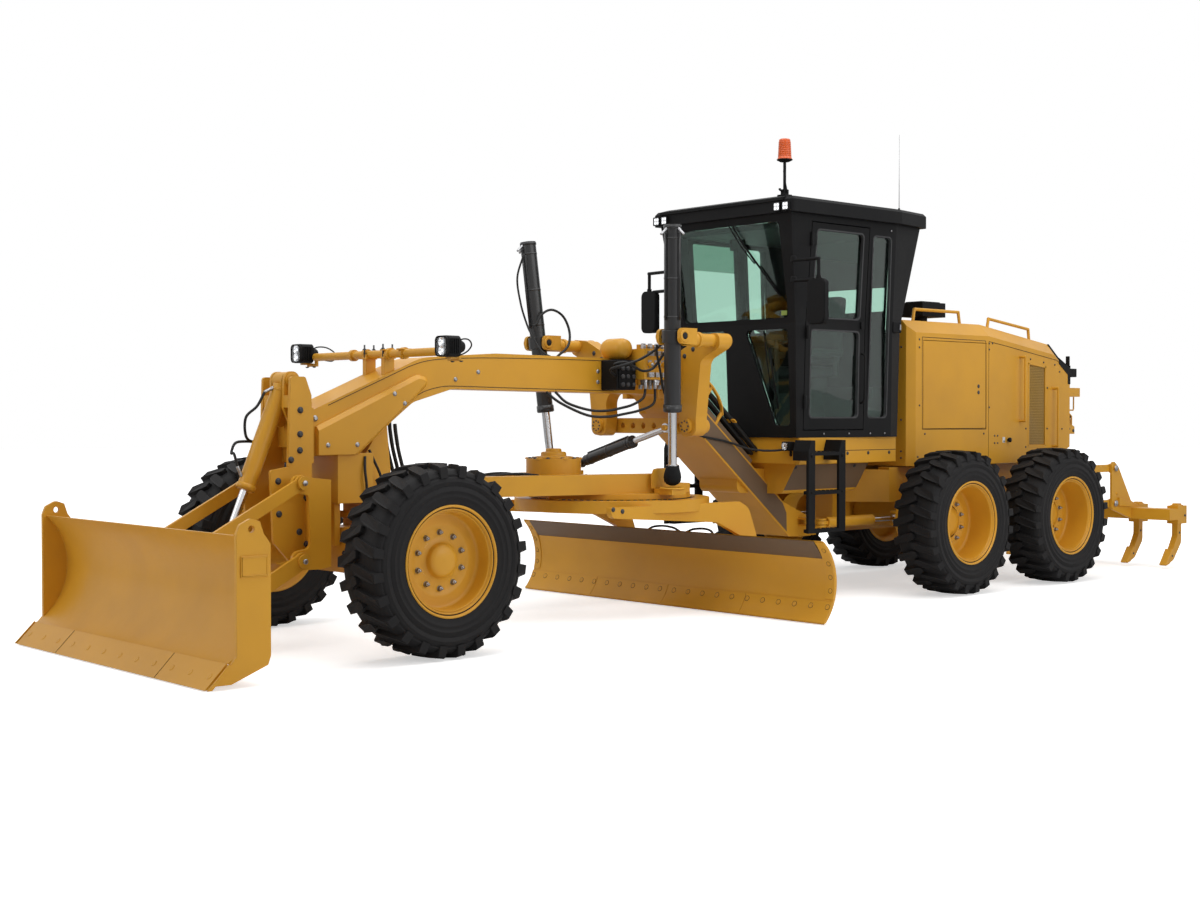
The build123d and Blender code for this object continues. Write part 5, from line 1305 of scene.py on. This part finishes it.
# Platform, ladders and tandems.
build = Build()
for x in (2278, 2020, 1700, 1430, 1150):
    build.bolt((x, 650, 1198), (0, 1, 0), 10)
for x, z in ((2240, 1100), (1500, 1100)):
    build.bolt((x, 560, z - 10), (0, 0.86, -0.5), 10)
build.mirrored().finish("platform_bolts", castMetal, "front_frame")
build = Build()
build.tube([at(x, 650.3, 1222) for x in (2298, 1700, 1062)], 2.4, 8)
build.mirrored().finish("platform_seams", darkGap, "front_frame")
ladderLook = {"steps": (603, 908, 1218), "studs": 7, "studPitch": 52}
build = Build()
for z in ladderLook["steps"]:
    for i in range(ladderLook["studs"]):
        x = 1995 + i * ladderLook["studPitch"]
        build.lathe([(15, 0), (15, 4), (10, 6), (8, 2), (0.01, 2)], (x, 772, z), (0, 0, 1), 16)
for x in (1965, 2340):
    build.bolt((x, 815, 1190), (0, 1, 0), 11)
    build.bolt((x, 815, 900), (0, 1, 0), 8)
build.mirrored().finish("ladder_studs", black, "front_frame")
build = Build()
build.box((2298, 520, 1226), (2372, 604, 1300))
build.box((2288, 550, 1180), (2312, 574, 1232))
build.finish("work_lamp", black, "front_frame", 8)
build = Build()
build.lathe([(4, 0), (22, 2), (30, 8)], (2372, 562, 1263), (1, 0, 0), 28)
build.finish("work_lamp_bowl", chrome, "front_frame")
build = Build()
build.lathe([(32, 0), (33, 3), (0.01, 4)], (2378, 562, 1263), (1, 0, 0), 28)
build.finish("work_lamp_lens", lampGlass, "front_frame")
tandemLook = {"axles": (-761.5, 761.5), "height": 610, "bolts": 8, "boltCircle": 78}
build = Build()
for x in tandemLook["axles"]:
    for i in range(tandemLook["bolts"]):
        a = math.tau * i / tandemLook["bolts"]
        build.bolt((x + tandemLook["boltCircle"] * math.cos(a), 790,
                    tandemLook["height"] + tandemLook["boltCircle"] * math.sin(a)), (0, 1, 0), 9, False)
build.lathe([(150, 0), (150, 10), (130, 14), (0.01, 14)], (0, 740, tandemLook["height"]), (0, 1, 0), 40)
for x in (-560, -280, 280, 560):
    build.box((x - 60, 480, 790), (x + 60, 700, 800))
build.mirrored().finish("tandem_details", yellow, "rear_module", 1.5)

# Ripper.
ripperLook = {"shanks": 6, "pitch": 449, "outermost": 1092, "beamX": -2862}
build, pins = Build(), Build()
x = ripperLook["beamX"]
for i in range(ripperLook["shanks"]):
    y = (i - (ripperLook["shanks"] - 1) / 2) * ripperLook["pitch"]
    y = max(-ripperLook["outermost"], min(ripperLook["outermost"], y))
    # boot over the tip, shank collar
    build.prism([(x + 118, 178), (x + 150, 196), (x + 268, 46), (x + 258, 36), (x + 205, 50), (x + 96, 112)], "y",
                y - 38, y + 38)
    build.box((x - 46, y - 44, 596), (x + 46, y + 44, 624))
    pins.rod((x + 150, y - 42, 128), (x + 150, y + 42, 128), 10, 12)
    pins.rod((x, y - 34, 350), (x, y + 34, 350), 11, 12)
    pins.rod((x - 50, y - 66, 520), (x - 50, y + 66, 520), 12, 14)
build.finish("ripper_boots", yellow, "ripper", 4)
pins.finish("ripper_pins", castMetal, "ripper")
build = Build()
for z in (643, 990):
    build.lathe([(30, 0), (30, 8), (24, 11), (0.01, 11)], (-2307, 751, z), (0, 1, 0), 24)
    build.bolt((-2307, 760, z), (0, 1, 0), 9, False)
build.mirrored().finish("ripper_pin_ends", steel, "ripper")
build = Build()
build.prism([(-2360, 700), (-2360, 620), (-2600, 600), (-2600, 640)], "y", 737, 760)
build.bolt((-2345, 737, 740), (0, 1, 0), 12)
build.mirrored().finish("ripper_gussets", yellow, "ripper", 2)

# Front axle.
build = Build()
for y in (150, 300, 430):
    for z in (600, 520):
        build.bolt((6282, y, z), (1, 0, 0), 12)
build.lathe([(40, 0), (40, 8), (30, 12), (0.01, 12)], (6340, 0, 720), (1, 0, 0), 28)
build.mirrored().finish("axle_bolts", castMetal, "front_frame")
print("rear details done")

# Stage, lights and camera.
stageLook = {"floor": 0.9, "sky": 0.30, "glow": 0.52, "near": 4.6, "far": 8.0, "keyPower": 690, "fillPower": 300,
             "rimPower": 205}


def buildStage():
    floor = bpy.data.materials.new("paleFloor")
    floor.use_nodes = True
    shader = floor.node_tree.nodes["Principled BSDF"]
    shader.inputs["Base Color"].default_value = (stageLook["floor"],) * 3 + (1,)
    shader.inputs["Roughness"].default_value = 0.9
    shader.inputs["Specular IOR Level"].default_value = 0.1
    shader.inputs["Emission Color"].default_value = (1, 1, 1, 1)
    nodes, link = floor.node_tree.nodes, floor.node_tree.links.new
    place = nodes.new("ShaderNodeNewGeometry")
    reach = nodes.new("ShaderNodeVectorMath")
    reach.operation = "LENGTH"
    link(place.outputs["Position"], reach.inputs[0])
    fade = nodes.new("ShaderNodeMapRange")
    fade.interpolation_type = "SMOOTHSTEP"
    fade.inputs["From Min"].default_value = stageLook["near"]
    fade.inputs["From Max"].default_value = stageLook["far"]
    fade.inputs["To Min"].default_value = stageLook["glow"]
    fade.inputs["To Max"].default_value = 1.0
    link(reach.outputs["Value"], fade.inputs["Value"])
    sight = nodes.new("ShaderNodeLightPath")
    eye = mathNode(nodes, "MAXIMUM")
    link(sight.outputs["Is Camera Ray"], eye.inputs[0])
    link(sight.outputs["Is Transmission Ray"], eye.inputs[1])
    power = mathNode(nodes, "MULTIPLY")
    link(eye.outputs[0], power.inputs[0])
    link(fade.outputs["Result"], power.inputs[1])
    link(power.outputs[0], shader.inputs["Emission Strength"])
    plane = bpy.data.meshes.new("floor")
    size = 60
    plane.from_pydata([(-size, -size, 0), (size, -size, 0), (size, size, 0), (-size, size, 0)], [], [(0, 1, 2, 3)])
    obj = bpy.data.objects.new("floor", plane)
    bpy.context.scene.collection.objects.link(obj)
    obj.data.materials.append(floor)
    world = bpy.data.worlds.new("studio")
    bpy.context.scene.world = world
    world.use_nodes = True
    nodes, link = world.node_tree.nodes, world.node_tree.links.new
    nodes.clear()
    out = nodes.new("ShaderNodeOutputWorld")
    light = nodes.new("ShaderNodeBackground")
    light.inputs["Color"].default_value = (1.0, 1.0, 1.0, 1)
    light.inputs["Strength"].default_value = stageLook["sky"]
    white = nodes.new("ShaderNodeBackground")
    white.inputs["Color"].default_value = (1.0, 1.0, 1.0, 1)
    white.inputs["Strength"].default_value = 1.0
    seen = nodes.new("ShaderNodeLightPath")
    either = mathNode(nodes, "MAXIMUM")
    link(seen.outputs["Is Camera Ray"], either.inputs[0])
    link(seen.outputs["Is Transmission Ray"], either.inputs[1])
    shiny = mathNode(nodes, "MAXIMUM")
    link(either.outputs[0], shiny.inputs[0])
    link(seen.outputs["Is Glossy Ray"], shiny.inputs[1])
    mix = nodes.new("ShaderNodeMixShader")
    link(shiny.outputs[0], mix.inputs["Fac"])
    link(light.outputs[0], mix.inputs[1])
    link(white.outputs[0], mix.inputs[2])
    link(mix.outputs[0], out.inputs["Surface"])


def areaLight(name, place, target, size, power):
    data = bpy.data.lights.new(name, "AREA")
    data.shape = "RECTANGLE"
    data.size, data.size_y = size
    data.energy = power
    obj = bpy.data.objects.new(name, data)
    bpy.context.scene.collection.objects.link(obj)
    obj.location = Vector(place)
    obj.rotation_euler = (Vector(target) - Vector(place)).to_track_quat("-Z", "Y").to_euler()
    return obj


buildStage()
areaLight("overhead", (1.0, 1.5, 9.0), (0.5, 0, 0.5), (12, 8), stageLook["keyPower"])
areaLight("sideSoft", (-1.0, 10.0, 5.0), (0.0, 0, 1.0), (9, 5), stageLook["fillPower"])
areaLight("frontSoft", (12.5, -3.0, 5.5), (2.5, 0, 0.8), (6, 5), stageLook["rimPower"])

cameraLook = {"place": (12322, 9326, 1511), "heading": 227.79, "pitch": -1.21, "lens": 49.4, "sensor": 36}
camera = bpy.data.cameras.new("camera")
camera.sensor_width = cameraLook["sensor"]
camera.lens = cameraLook["lens"]
viewer = bpy.data.objects.new("camera", camera)
bpy.context.scene.collection.objects.link(viewer)
viewer.location = at(*cameraLook["place"])
heading, pitch = math.radians(cameraLook["heading"]), math.radians(cameraLook["pitch"])
aim = Vector((math.cos(heading) * math.cos(pitch), math.sin(heading) * math.cos(pitch), math.sin(pitch)))
viewer.rotation_euler = aim.to_track_quat("-Z", "Y").to_euler()
camera.clip_end = 200
bpy.context.scene.camera = viewer
bpy.context.scene.view_settings.view_transform = "Standard"
